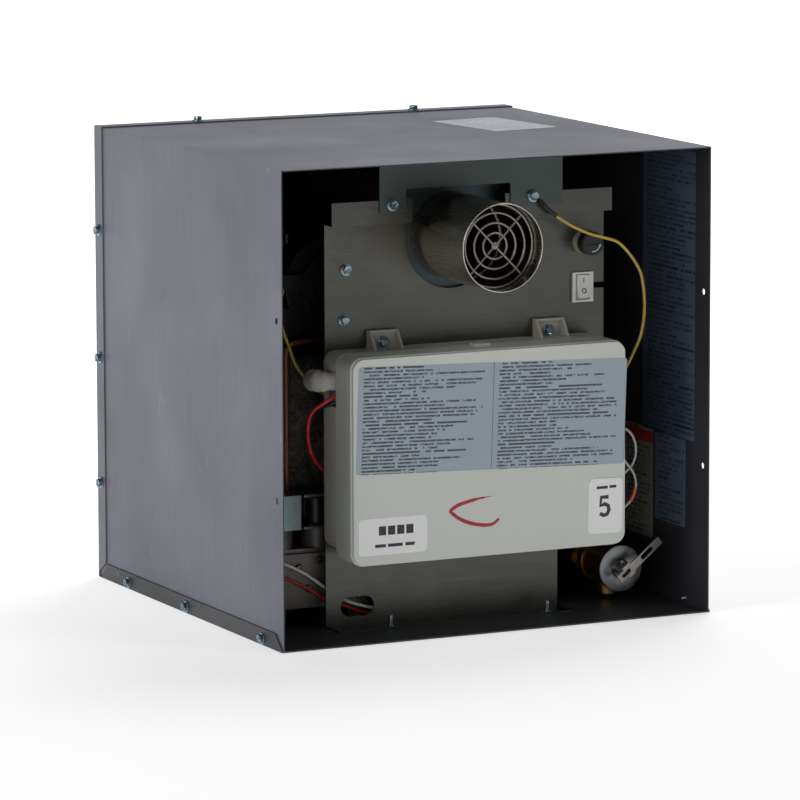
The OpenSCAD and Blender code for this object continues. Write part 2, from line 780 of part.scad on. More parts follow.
// Relief valve
module relief_valve_body() {
    color("#a67c2e") difference() {
        union() {
            rod_y(hot_x, cap_y + 3, -64, hot_z, 12.5);
            rod_y(hot_x, -64, -60, hot_z, 13.5);
            rod_y(hot_x, -60, -46, hot_z, 9);
            rod_y(hot_x, -46, -38, hot_z, 12, 6);
            rod_z(hot_x, -78, 4, hot_z, 7);
        }
        rod_y(hot_x, cap_y + 2, -66, hot_z, 8.2);
        rod_y(hot_x, -67, -37, hot_z, 5);
        rod_z(hot_x, -78, 3, hot_z, 4.5);
    }
}

module relief_cap() {
    color("#c5c7c8") difference() {
        union() {
            rod_y(hot_x, cap_y + 1, cap_y + 3, hot_z, cap_r);
            translate([hot_x, cap_y + 1, hot_z]) rotate([90, 0, 0]) cylinder(r1 = cap_r, r2 = cap_r - 1, h = 1);
        }
        rod_y(hot_x, cap_y - 1, cap_y + 4, hot_z, 3.06);
    }
}

module relief_stem() {
    color("#8d8f90") difference() {
        union() {
            rod_y(hot_x, pin_y - 1.2, -68, hot_z, 3);
            rod_y(hot_x, -70, -66.2, hot_z, 7);
        }
        leaning() rod_z(0, 0, -8, 8, 0.86);
    }
}

// Local axes of the lever: X along its length, -Y away from the cap, Z along its pin
module leaning() {
    translate([hot_x, pin_y, hot_z]) rotate([0, -lever_lean, 0]) children();
}

module lever_pin() {
    color("#8d8f90") leaning() rod_z(0, 0, -5.4, 5.4, 0.8);
}

module relief_lever() {
    color("#b9b6ad") leaning() difference() {
        union() {
            block([lever_u0, -4.5, -3], [lever_u1, -3.3, 3]);
            for (z = [-4.6, 3.4]) block([-2.5, -4.5, z], [4, 2, z + 1.2]);
            block([-2.5, -4.5, -4.6], [4, -3.3, 4.6]);
        }
        for (u = [[-6, 2], [13, 24]]) translate([0, -3, 0]) rotate([90, 0, 0]) linear_extrude(2)
            rounded(u[0], -1.6, u[1], 1.6, 1.5);
        rod_z(0, 0, -6, 6, 0.86);
    }
}

// Water pipes and fittings
module hot_pipe() {
    riser = [[core_x1 + 0.5, riser_y, tube_z], [hot_x, riser_y, tube_z], [hot_x, riser_y, hot_z + 12]];
    color("#b87348") difference() {
        union() {
            rod_y(hot_x, -38, 130, hot_z, 8);
            rod_y(hot_x, riser_y - 12, riser_y + 12, hot_z, 10.5);
            rod_z(hot_x, riser_y, hot_z, hot_z + 12, 8);
        }
        rod_y(hot_x, -39, 131, hot_z, 6.5);
    }
    color("#b87348") sweep(bent(riser, 12), coil_r, 12);
}

module water_fitting(x, y0) {
    difference() {
        union() {
            rod_y(x, y0, back_y - 3, hot_z, 13, 6);
            rod_y(x, back_y - 3, back_y - 1, hot_z, thread_r - relief);
            rod_y(x, back_y - 1, rear_y, hot_z, thread_r);
        }
        rod_y(x, y0 - 1, rear_y + 1, hot_z, 7.5);
    }
}

module hot_outlet_fitting() {
    color("#b58d3d") water_fitting(hot_x, 130);
}

module cold_inlet_fitting() {
    color("#b58d3d") water_fitting(cold_x, 150);
}

module cold_pipe() {
    path = [[cold_x, 116, hot_z], [cold_x, 104, hot_z], [cold_x, 104, tube_z], [-116, 104, tube_z],
            [-116, coil_y0, tube_z], [core_x0 - 0.5, coil_y0, tube_z]];
    color("#b87348") sweep(bent(path, 9), coil_r, 12);
}

module flow_sensor_body() {
    color("#3b3d40") difference() {
        union() {
            rod_y(cold_x, 116, 150, hot_z, 13);
            block([cold_x - 8, 126, hot_z + 11], [cold_x + 8, 142, hot_z + 20]);
        }
        rod_y(cold_x, 118, 151, hot_z, 9.5);
        rod_y(cold_x, 115, 119, hot_z, 4);
    }
    color("#3b3d40") for (y = [120, 144]) difference() {
        union() {
            rod_y(cold_x, y, y + 2, hot_z, 3);
            block([cold_x - 9.5, y, hot_z - 0.8], [cold_x + 9.5, y + 2, hot_z + 0.8]);
        }
        rod_y(cold_x, y - 1, y + 3, hot_z, 1.06);
    }
}

module flow_turbine() {
    color("#e0ddd2") union() {
        rod_y(cold_x, 119.6, 146.4, hot_z, 1);
        rod_y(cold_x, 125, 140, hot_z, 3.2);
        for (k = [0 : 5]) translate([cold_x, 126, hot_z]) rotate([0, k * 60, 0])
            translate([2.5, 0, -0.6]) cube([6.3, 13, 1.2]);
    }
}

module thermistor() {
    color("#1b1b1d") difference() {
        union() {
            block([hot_x - 6, -32, hot_z + 8.1], [hot_x + 6, -20, hot_z + 18]);
            rod_y(hot_x, -30, -22, hot_z, 9.6);
        }
        rod_y(hot_x, -33, -19, hot_z, 8.05);
    }
}

// Fuse
module fuse_holder() {
    color("#c8bfa4") difference() {
        union() {
            rod_y(fuse_x, plate_y - fuse_neck, plate_y, fuse_z, 8.2);
            rod_y(fuse_x, plate_y, plate_y + 34, fuse_z, 6.3);
        }
        rod_y(fuse_x, plate_y - 9, plate_y + 31, fuse_z, 4.1);
    }
    color("#c9ccd0") rod_y(fuse_x, plate_y - 3.4, plate_y + 30.5, fuse_z, 3.1);
}

module fuse_cap() {
    color("#17171a") difference() {
        union() {
            rod_y(fuse_x, plate_y - 14.5, plate_y - fuse_neck - 0.3, fuse_z, 8.2);
            rod_y(fuse_x, plate_y - 15, plate_y - 14.5, fuse_z, 7.4);
            rod_y(fuse_x, plate_y - fuse_neck - 0.3, plate_y - 4, fuse_z, 4.04);
        }
        facing_front(fuse_x, plate_y - 14.4, fuse_z) translate([-5, -0.7, 0]) cube([10, 1.4, 2]);
    }
}

// Rocker switch, with its own X along the pivot and -Y outwards
module switch_body() {
    color("#d9d8d2") translate([switch_x, plate_y, switch_z]) difference() {
        union() {
            block([-8, -2, -10.3], [8, 0, 10.3]);
            block([-6, 0, -8.6], [6, 20, 8.6]);
        }
        block([-5.3, -3, -8.8], [5.3, 0, 8.8]);
        block([-5.3, -1, -7.6], [5.3, 7, 7.6]);
        rod_x(-7, 7, 1, 0, 1.26);
    }
}

module rocker() {
    color("#e2e1dc") translate([switch_x, plate_y + 1, switch_z]) rotate([-7, 0, 0]) {
        strip_yz(-5, 5)
            polygon([[-5.2, -8], [-4.2, 0], [-5.2, 8], [-2.6, 8], [-1.6, 7], [3, 4.6], [3, -4.6], [-1.6, -7],
                     [-2.6, -8]]);
        rod_x(-5.95, 5.95, 0, 0, 1.2);
    }
}

// Wiring
ground_route = [[54, -109.3, 286], [58, -111.5, 281], [65, -113, 275], [76, -114, 268], [89, -115, 262], [99, -115, 259],
                [111, -115, 255], [121, -114, 246], [130, -112, 234], [134, -110, 222], [136, -108, 206],
                [134, -107, 189], [129, -106, 177], [122, -105, 164], [114, -105, 154], [104, -106, 148]];
sleeve_route = [[-100, -107, 172], [-107, -107, 172], [-111, -100, 172], [-108, -90, 171], [-99, -85, 170],
                [-84, -84, 168]];
red_route = [[-100, -110, 162], [-107, -108, 158], [-114, -101, 150], [-114, -95, 136], [-109, -90, 121],
             [-100, -85, 110], [-88, -81, 100], [-80, -76, 92], [-77, -72, 80], [-77, -70, 54]];
black_route = [[-100, -111, 158], [-106, -105, 155], [-106, -95, 151], [-100, -87, 142], [-90, -80, 120],
               [-74, -76, 98], [-70, -72, 80], [-70, -70, 54]];
white_route = [[-140.3, -71, 50], [-145, -74, 50], [-138, -86, 49], [-128, -88, 46], [-113, -88.5, 38],
               [-99, -89, 28], [-82, -89, 17], [-60, -87, 10], [-40, -80, 7], [-20, -70, 8], [-10, -60, 14],
               [-6, -52, 24], [-6, -50, 29]];
scarlet_route = [[-140.3, -66, 40], [-145.5, -70, 40], [-139, -85, 39], [-128, -86.8, 36], [-113, -88, 29],
                 [-99, -88, 20], [-82, -86, 13], [-62, -82, 6], [-40, -74, 4], [-20, -64, 6], [4, -56, 16],
                 [10, -52, 25], [10, -50, 29]];
yellow_route = [[-112, -53, 228], [-117, -57, 218], [-118, -61, 207], [-113, -62, 192], [-107, -62, 177],
                [-97, -64, 164], [-80, -68, 150], [-55, -70, 130], [-40, -68, 110], [-34, -64, 100]];
probe_route = [[105, -106, 130], [117, -104, 126], [129.5, -101, 119], [134, -100, 107], [131, -98, 95],
               [118, -92, 84], [104, -80, 74], [100, -60, 60], [108, -44, 46], [120, -34, 36]];
sense_route = [[105, -106, 110], [119, -104, 104], [128, -101, 96], [133, -100, 89], [134, -100, 81],
               [131, -98, 71], [122, -92, 62], [112, -80, 56], [110, -60, 50], [116, -44, 40], [125, -34, 36]];

module ground_wire() {
    color("#c8c522") sweep(smooth(ground_route, 3), 1.1);
    color("#b9bcc0") difference() {
        facing_front(hang_screws[1].x, bracket_y, hang_screws[1].y) cylinder(r = 4.4, h = 0.8);
        facing_front(hang_screws[1].x, bracket_y + 1, hang_screws[1].y) cylinder(r = hole_r, h = 3);
    }
}

module harness_sleeve() {
    color("#d6d0c8") sweep(smooth(sleeve_route, 4), 6, 12);
}

module lead_wires() {
    color("#b01818") sweep(smooth(red_route, 3), 1.3);
    color("#1a1a1a") sweep(smooth(black_route, 3), 1.3);
    color("#e4e2dc") sweep(smooth(white_route, 2), 1.1);
    color("#c02020") sweep(smooth(scarlet_route, 2), 1.1);
    color("#c9b31e") sweep(smooth(yellow_route, 3), 1.1);
}

module sensor_wires() {
    color("#e4e2dc") {
        sweep(smooth(probe_route, 3), 0.9);
        sweep(smooth(sense_route, 3), 0.9);
    }
}

case_wrap();
back_panel();
bottom_pan();
sheet_screws();
hanger_bracket();
front_plate();
foot_studs();
control_box_base();
control_box_cover();
control_board();
exhaust_tube();
exhaust_grille();
flue_flange();
flue_hood();
exchanger_shell();
exchanger_fins();
exchanger_coil();
combustion_chamber();
insulation_blanket();
burner_tray();
burner_bars();
gas_manifold();
electrodes();
gas_valve_body();
gas_valve_cover();
valve_screws();
solenoid_yokes();
solenoid_coils();
safety_plunger();
main_plunger();
gas_pipe();
gas_inlet_fitting();
pressure_tube();
blower_housing();
blower_motor();
blower_wheel();
blower_bracket();
air_duct();
limit_switch();
reset_button();
relief_valve_body();
relief_cap();
relief_stem();
lever_pin();
relief_lever();
hot_pipe();
hot_outlet_fitting();
cold_pipe();
flow_sensor_body();
flow_turbine();
cold_inlet_fitting();
thermistor();
fuse_holder();
fuse_cap();
switch_body();
rocker();
ground_wire();
harness_sleeve();
lead_wires();
sensor_wires();
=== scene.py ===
import json
import math
import random
import bmesh
import bpy
from mathutils import Matrix, Vector

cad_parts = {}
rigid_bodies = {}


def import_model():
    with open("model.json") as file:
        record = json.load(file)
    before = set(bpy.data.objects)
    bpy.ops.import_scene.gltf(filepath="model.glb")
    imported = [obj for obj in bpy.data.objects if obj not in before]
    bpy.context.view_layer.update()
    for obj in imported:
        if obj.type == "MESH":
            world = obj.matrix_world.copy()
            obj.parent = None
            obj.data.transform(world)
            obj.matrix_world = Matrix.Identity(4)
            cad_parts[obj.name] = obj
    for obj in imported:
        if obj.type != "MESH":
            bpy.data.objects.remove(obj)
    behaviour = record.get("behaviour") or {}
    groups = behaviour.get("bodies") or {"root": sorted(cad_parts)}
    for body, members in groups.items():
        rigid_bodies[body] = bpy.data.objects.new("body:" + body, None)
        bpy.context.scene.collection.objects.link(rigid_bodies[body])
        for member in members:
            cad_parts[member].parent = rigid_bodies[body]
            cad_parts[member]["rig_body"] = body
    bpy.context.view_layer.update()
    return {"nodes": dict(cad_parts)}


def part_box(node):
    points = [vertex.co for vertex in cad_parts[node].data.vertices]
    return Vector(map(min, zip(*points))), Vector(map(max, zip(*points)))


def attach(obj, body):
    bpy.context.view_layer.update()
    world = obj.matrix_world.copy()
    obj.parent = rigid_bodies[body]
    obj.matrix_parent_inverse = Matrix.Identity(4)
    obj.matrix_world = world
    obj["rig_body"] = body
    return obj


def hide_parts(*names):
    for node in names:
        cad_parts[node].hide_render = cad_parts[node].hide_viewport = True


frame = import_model()
cad = frame["nodes"]
mm = 0.001
# closer points than this are one corner
weld = 0.000004
shapes = bpy.ops.mesh
random.seed(7)
print("frame loaded:", len(cad), "nodes")


# small helpers

def deselectAll():
    if bpy.context.mode != "OBJECT":
        bpy.ops.object.mode_set(mode="OBJECT")
    bpy.ops.object.select_all(action="DESELECT")


def focusOn(piece):
    deselectAll()
    piece.select_set(True)
    bpy.context.view_layer.objects.active = piece
    return piece


def editMode(piece, select="VERT"):
    focusOn(piece)
    bpy.ops.object.mode_set(mode="EDIT")
    bpy.ops.mesh.select_mode(type=select)
    bpy.ops.mesh.select_all(action="DESELECT")


def objectMode():
    bpy.ops.object.mode_set(mode="OBJECT")


def pickFaces(piece, test):
    # face selection by place or normal, in the mesh's own coordinates
    bm = bmesh.from_edit_mesh(piece.data)
    for face in bm.faces:
        face.select_set(test(face.calc_center_median(), face.normal))
    bm.select_flush_mode()
    bmesh.update_edit_mesh(piece.data)


def addModifier(piece, kind, **settings):
    modifier = piece.modifiers.new(kind.title(), kind)
    for name, value in settings.items():
        setattr(modifier, name, value)
    focusOn(piece)
    bpy.ops.object.modifier_apply(modifier=modifier.name)


def bevel(piece, width, segments, angle=30, **settings):
    # width in millimetres, angle in degrees
    addModifier(piece, "BEVEL", width=width * mm, segments=segments, limit_method="ANGLE",
                angle_limit=math.radians(angle), **settings)


def applyPlace(piece):
    focusOn(piece)
    bpy.ops.object.transform_apply(location=True, rotation=True, scale=True)


def newObject(name, data):
    piece = bpy.data.objects.new(name, data)
    bpy.context.scene.collection.objects.link(piece)
    return piece


def added(operator, **settings):
    # the new object that one of Blender's own shapes makes
    operator(**settings)
    return bpy.context.object


def block(size, place=(0, 0, 0), turn=0):
    # a plain block, size in millimetres and place in metres
    piece = added(shapes.primitive_cube_add, size=1, location=place)
    piece.scale = Vector(size) * mm
    piece.rotation_euler.z = math.radians(turn)
    applyPlace(piece)
    return piece


def cutAway(piece, cutter):
    addModifier(piece, "BOOLEAN", object=cutter, operation="DIFFERENCE")
    bpy.data.objects.remove(cutter)


def joinAll(pieces):
    deselectAll()
    for piece in pieces:
        piece.select_set(True)
    bpy.context.view_layer.objects.active = pieces[0]
    bpy.ops.object.join()
    return pieces[0]


def finishPiece(piece, name, body, material, stands=(), smooth=35):
    applyPlace(piece)
    piece.name = name
    piece.data.name = name
    if smooth:
        bpy.ops.object.shade_smooth_by_angle(angle=math.radians(smooth))
    piece.data.materials.clear()
    piece.data.materials.append(material)
    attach(piece, body)
    if stands:
        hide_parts(*stands)
    return piece


def middle(node):
    low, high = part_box(node)
    return (low + high) / 2


ownNames = {"control_box_cover": "boxCover", "control_box_base": "boxBase", "thermistor": "thermistorClip",
            "rocker": "rockerKey"}


def softCopy(node, width, finish, segments=2, angle=32, smooth=32):
    # a copy of a node's solid with its loose triangles merged and its edges eased by a width in millimetres
    first, *others = node.split("_")
    name = ownNames.get(node, first + "".join(word.title() for word in others))
    piece = newObject(name, cad[node].data.copy())
    editMode(piece)
    bpy.ops.mesh.select_all(action="SELECT")
    bpy.ops.mesh.remove_doubles(threshold=weld)
    bpy.ops.mesh.dissolve_limited(angle_limit=math.radians(0.6))
    objectMode()
    if width:
        bevel(piece, width, segments, angle, use_clamp_overlap=True, loop_slide=False)
    finishPiece(piece, name, cad[node]["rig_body"], finishes[finish], (node,), smooth)
    addModifier(piece, "WEIGHTED_NORMAL", keep_sharp=True)
    return piece


def islands(node):
    # boxes of the separate solids in one node
    mesh = bmesh.new()
    mesh.from_mesh(cad[node].data)
    bmesh.ops.remove_doubles(mesh, verts=mesh.verts, dist=weld)
    seen = set()
    found = []
    for start in mesh.verts:
        if start.index in seen:
            continue
        stack = [start]
        seen.add(start.index)
        points = []
        while stack:
            vert = stack.pop()
            points.append(vert.co.copy())
            for edge in vert.link_edges:
                other = edge.other_vert(vert)
                if other.index not in seen:
                    seen.add(other.index)
                    stack.append(other)
        low = Vector([min(p[i] for p in points) for i in range(3)])
        high = Vector([max(p[i] for p in points) for i in range(3)])
        found.append((low, high))
    mesh.free()
    return found


def curveAlong(name, points, depth, resolution, radii=1):
    # a round curve through points in millimetres; radii is one factor or one for each point
    data = bpy.data.curves.new(name, "CURVE")
    data.dimensions = "3D"
    data.bevel_depth = depth
    data.bevel_resolution = resolution
    data.use_fill_caps = True
    spline = data.splines.new("POLY")
    spline.points.add(len(points) - 1)
    for i, (point, at) in enumerate(zip(spline.points, points)):
        point.co = (*(Vector(at) * mm), 1)
        point.radius = radii[i] if isinstance(radii, (list, tuple)) else radii
    return newObject(name, data)


def tubeAlong(points, radii, resolution=6):
    # a mesh tube; radii in millimetres
    focusOn(curveAlong("tube", points, mm, resolution, radii))
    bpy.ops.object.convert(target="MESH")
    return bpy.context.object


def spread(points, count):
    # the smooth line through a route's points, the same rule as the solid's
    route = [Vector(p) for p in points]
    line = []
    for i in range(len(route) - 1):
        a, b = route[max(i - 1, 0)], route[i]
        c, d = route[i + 1], route[min(i + 2, len(route) - 1)]
        for k in range(count):
            t = k / count
            line.append(0.5 * ((2 * b) + (c - a) * t + (2 * a - 5 * b + 4 * c - d) * t * t
                               + (3 * b - a - 3 * c + d) * t ** 3))
    line.append(route[-1])
    return line


# camera and light

cameraSettings = {
    "place": (-1.6951, -3.5044, 0.7361),
    "azimuth": -25.828,
    "elevation": 8.743,
    "roll": -0.148,
    "lens": 254.26,
}


def makeCamera(settings):
    a = math.radians(settings["azimuth"])
    e = math.radians(settings["elevation"])
    r = math.radians(settings["roll"])
    back = Vector((math.sin(a) * math.cos(e), -math.cos(a) * math.cos(e), math.sin(e)))
    right = Vector((math.cos(a), math.sin(a), 0))
    up = back.cross(right)
    right, up = right * math.cos(r) + up * math.sin(r), up * math.cos(r) - right * math.sin(r)
    data = bpy.data.cameras.new("camera")
    data.lens = settings["lens"]
    data.sensor_width = 36
    data.clip_end = 50
    camera = newObject("camera", data)
    camera.matrix_world = Matrix((
        (right.x, up.x, back.x, settings["place"][0]),
        (right.y, up.y, back.y, settings["place"][1]),
        (right.z, up.z, back.z, settings["place"][2]),
        (0, 0, 0, 1)))
    bpy.context.scene.camera = camera


lightSettings = [
    # name, place, aim, width, height, watts
    ("leftSoftbox", (-2.9, -0.55, 1.2), (0, 0, 0.15), 1.4, 1.6, 38),
    ("frontSoftbox", (2.2, -2.7, 2.3), (0, -0.1, 0.15), 1.1, 0.9, 15),
    ("leftFrontSoftbox", (-2.4, -2.6, 1.0), (0, -0.1, 0.15), 0.9, 0.9, 8),
    ("topSoftbox", (1.0, 0.8, 2.4), (0, 0, 0.3), 1.3, 1.3, 23),
]
worldSettings = {"fill": 0.07, "behind": 0.8, "tone": (0.95, 0.97, 1.0), "back": (0.43, 0.9),
                 "edge": (0.7, 0.93)}


def makeLights(settings):
    for name, place, aim, width, height, watts in settings:
        data = bpy.data.lights.new(name, "AREA")
        data.shape = "RECTANGLE"
        data.size = width
        data.size_y = height
        data.energy = watts
        light = newObject(name, data)
        light.location = place
        light.rotation_euler = (Vector(aim) - Vector(place)).to_track_quat("-Z", "Y").to_euler()


def makeWorld(settings):
    # a low fill all round and a bright cloth behind the heater
    world = bpy.data.worlds.new("studio")
    bpy.context.scene.world = world
    world.use_nodes = True
    graph = Graph(world.node_tree)
    split = graph.split(graph.add("ShaderNodeTexCoord").outputs["Generated"])
    toBack = graph.plus(*(graph.times(axis, share) for axis, share in zip(split, settings["back"])))
    sky = world.node_tree.nodes["Background"]
    sky.inputs["Color"].default_value = (*settings["tone"], 1)
    graph.wire(graph.remap(toBack, *settings["edge"], settings["fill"], settings["behind"]),
               sky.inputs["Strength"])


# steps for building node trees

class Graph:
    # a thin wrapper so that a material reads as a list of steps
    def __init__(self, tree):
        self.tree = tree

    def add(self, kind, **settings):
        step = self.tree.nodes.new(kind)
        for name, value in settings.items():
            setattr(step, name, value)
        return step

    def wire(self, source, target):
        self.tree.links.new(source, target)

    def feed(self, socket, value):
        if isinstance(value, bpy.types.NodeSocket):
            self.wire(value, socket)
        else:
            socket.default_value = value

    def math(self, operation, a, b=0.0, clamp=False):
        step = self.add("ShaderNodeMath", operation=operation, use_clamp=clamp)
        self.feed(step.inputs[0], a)
        self.feed(step.inputs[1], b)
        return step.outputs[0]

    def times(self, a, b, clamp=False):
        return self.math("MULTIPLY", a, b, clamp)

    def plus(self, a, b):
        return self.math("ADD", a, b)

    def minus(self, a, b):
        return self.math("SUBTRACT", a, b)

    def split(self, vector):
        step = self.add("ShaderNodeSeparateXYZ")
        self.wire(vector, step.inputs[0])
        return step.outputs

    def join(self, *values):
        step = self.add("ShaderNodeCombineXYZ")
        for socket, value in zip(step.inputs, values):
            self.feed(socket, value)
        return step.outputs[0]

    def remap(self, value, low, high, toLow=0.0, toHigh=1.0):
        step = self.add("ShaderNodeMapRange")
        for socket, v in zip(step.inputs, (value, low, high, toLow, toHigh)):
            self.feed(socket, v)
        return step.outputs[0]

    def mix(self, factor, a, b):
        step = self.add("ShaderNodeMix", data_type="RGBA")
        self.feed(step.inputs[0], factor)
        self.feed(step.inputs[6], a if isinstance(a, bpy.types.NodeSocket) else (*a, 1)[:4])
        self.feed(step.inputs[7], b if isinstance(b, bpy.types.NodeSocket) else (*b, 1)[:4])
        return step.outputs[2]

    def noise(self, vector, scale, detail=3.0, rough=0.5, distortion=0.0):
        step = self.add("ShaderNodeTexNoise")
        self.feed(step.inputs["Vector"], vector)
        self.feed(step.inputs["Scale"], scale)
        step.inputs["Detail"].default_value = detail
        step.inputs["Roughness"].default_value = rough
        step.inputs["Distortion"].default_value = distortion
        return step.outputs[0]

    def stretch(self, vector, scale):
        step = self.add("ShaderNodeMapping")
        self.feed(step.inputs["Vector"], vector)
        self.feed(step.inputs["Scale"], scale)
        return step.outputs[0]


makeCamera(cameraSettings)
makeLights(lightSettings)
makeWorld(worldSettings)
bpy.context.scene.view_settings.view_transform = "Standard"
print("camera and lights ready")


# node groups shared by the materials

def makeGroup(name, inputs, outputs):
    # Vector is the first input of each; a number or a vector tells the kind of the others
    tree = bpy.data.node_groups.new(name, "ShaderNodeTree")
    for label, value in {"Vector": (0, 0, 0), **inputs}.items():
        kind = "NodeSocketVector" if isinstance(value, tuple) else "NodeSocketFloat"
        tree.interface.new_socket(name=label, in_out="INPUT", socket_type=kind).default_value = value
    for label in outputs:
        tree.interface.new_socket(name=label, in_out="OUTPUT", socket_type="NodeSocketFloat")
    graph = Graph(tree)
    return graph, graph.add("NodeGroupInput").outputs, graph.add("NodeGroupOutput").inputs


def makeStreakGroup():
    # fine lines drawn out along one direction, as rolling or brushing leaves them
    inputs = {"Across": (1, 1, 1), "Low": 0.35, "High": 0.7}
    graph, given, result = makeGroup("rolledStreaks", inputs, ["Mask", "Fine"])
    drawn = graph.stretch(given["Vector"], given["Across"])
    wide = graph.noise(drawn, 1.0, 4, 0.6)
    fine = graph.noise(drawn, 3.7, 2, 0.5)
    graph.wire(graph.remap(wide, given["Low"], given["High"]), result["Mask"])
    graph.wire(fine, result["Fine"])
    return graph.tree


def makeScratchGroup():
    # sparse thin scratches, lighter than the metal round them
    graph, given, result = makeGroup("thinScratches", {"Across": (1, 1, 1), "Amount": 0.1}, ["Mask"])
    drawn = graph.stretch(given["Vector"], given["Across"])
    line = graph.noise(drawn, 1.0, 1, 0.4, 0.15)
    near = graph.math("ABSOLUTE", graph.minus(line, 0.5))
    sharp = graph.remap(near, 0.0, 0.006, 1.0, 0.0)
    where = graph.noise(given["Vector"], 28, 2, 0.5)
    chosen = graph.remap(where, graph.minus(0.72, given["Amount"]), 0.74, 0.0, 1.0)
    graph.wire(graph.times(sharp, chosen, True), result["Mask"])
    return graph.tree


def makeGrainGroup():
    # an even fine grain: a height and a mask of darker specks
    graph, given, result = makeGroup("fineGrain", {"Scale": 1500.0, "Specks": 0.3}, ["Height", "Specks"])
    height = graph.noise(given["Vector"], given["Scale"], 2, 0.6)
    cells = graph.add("ShaderNodeTexVoronoi")
    graph.wire(given["Vector"], cells.inputs["Vector"])
    graph.wire(graph.times(given["Scale"], 0.33), cells.inputs["Scale"])
    dots = graph.remap(cells.outputs["Distance"], 0.08, 0.2, 1.0, 0.0)
    patch = graph.noise(given["Vector"], graph.times(given["Scale"], 0.02), 2, 0.5)
    graph.wire(height, result["Height"])
    graph.wire(graph.times(dots, graph.remap(patch, graph.minus(1.0, given["Specks"]), 1.0)),
               result["Specks"])
    return graph.tree


def makeStainGroup():
    # soft cloudy patches with a few stronger spots
    graph, given, result = makeGroup("stains", {"Scale": 20.0, "Spread": 0.4}, ["Cloud", "Spots"])
    cloud = graph.noise(given["Vector"], given["Scale"], 5, 0.55, 0.3)
    spot = graph.noise(given["Vector"], graph.times(given["Scale"], 2.3), 3, 0.6, 0.6)
    graph.wire(cloud, result["Cloud"])
    graph.wire(graph.remap(spot, graph.minus(0.86, given["Spread"]), 0.9), result["Spots"])
    return graph.tree


def makePrintGroup():
    # rows of small dark marks that stand for print without being letters; Vector is in millimetres
    graph, given, result = makeGroup(
        "printedRows", {"Pitch": 3.0, "Glyph": 0.7, "Fill": 0.6, "Margin": 4.0, "Width": 100.0}, ["Ink"])
    split = graph.split(given["Vector"])
    along, down = split[0], split[1]
    rowPlace = graph.math("DIVIDE", down, given["Pitch"])
    row = graph.math("FLOOR", rowPlace)
    within = graph.math("FRACT", rowPlace)
    band = graph.times(graph.remap(within, 0.18, 0.24), graph.remap(within, 0.7, 0.76, 1.0, 0.0))

    def randomOf(a, b):
        white = graph.add("ShaderNodeTexWhiteNoise", noise_dimensions="2D")
        graph.wire(graph.join(a, b), white.inputs["Vector"])
        return white.outputs["Value"]

    word = randomOf(graph.math("FLOOR", graph.math("DIVIDE", along, graph.times(given["Glyph"], 1.37))), row)
    glyph = randomOf(graph.math("FLOOR", graph.math("DIVIDE", along, graph.times(given["Glyph"], 0.4))),
                     graph.math("FLOOR", graph.times(rowPlace, 4.0)))
    heading = graph.math("LESS_THAN", graph.math("MODULO", row, 8.0), 0.5)
    fill = graph.plus(given["Fill"], graph.times(heading, 0.25))
    ink = graph.times(graph.math("LESS_THAN", word, 0.86), graph.math("LESS_THAN", glyph, fill))
    lineEnd = graph.plus(graph.times(randomOf(row, 3.7), 0.55), 0.42)
    reach = graph.times(graph.math("MINIMUM", lineEnd, 0.93), given["Width"])
    inside = graph.times(graph.math("GREATER_THAN", along, given["Margin"]),
                        graph.math("LESS_THAN", along, reach))
    graph.wire(graph.times(graph.times(ink, band), inside, True), result["Ink"])
    return graph.tree


groups = {
    "streaks": makeStreakGroup(),
    "scratches": makeScratchGroup(),
    "grain": makeGrainGroup(),
    "stains": makeStainGroup(),
    "print": makePrintGroup(),
}


class Finish(Graph):
    # one material: its tree, its shader and the places it reads
    def __init__(self, name, **constants):
        self.material = bpy.data.materials.new(name)
        self.material.use_nodes = True
        super().__init__(self.material.node_tree)
        self.shader = self.tree.nodes["Principled BSDF"]
        for label, value in constants.items():
            self.shader.inputs[label.replace("_", " ")].default_value = value
        self.place = self.add("ShaderNodeTexCoord")
        self.where = self.place.outputs["Object"]

    def group(self, label, **values):
        step = self.add("ShaderNodeGroup")
        step.node_tree = groups[label]
        for name, value in values.items():
            self.feed(step.inputs[name], value)
        if "Vector" not in values:
            self.wire(self.where, step.inputs["Vector"])
        return step.outputs

    def color(self, value):
        self.feed(self.shader.inputs["Base Color"],
                  value if isinstance(value, bpy.types.NodeSocket) else (*value, 1))

    def rough(self, value):
        self.feed(self.shader.inputs["Roughness"], value)

    def bump(self, height, strength, distance):
        step = self.add("ShaderNodeBump")
        step.inputs["Strength"].default_value = strength
        step.inputs["Distance"].default_value = distance
        self.wire(height, step.inputs["Height"])
        if self.shader.inputs["Normal"].is_linked:
            self.wire(self.shader.inputs["Normal"].links[0].from_socket, step.inputs["Normal"])
        self.wire(step.outputs[0], self.shader.inputs["Normal"])


# materials, one function for each finish

def shade(tone, factor):
    return [min(1, c * factor) for c in tone]


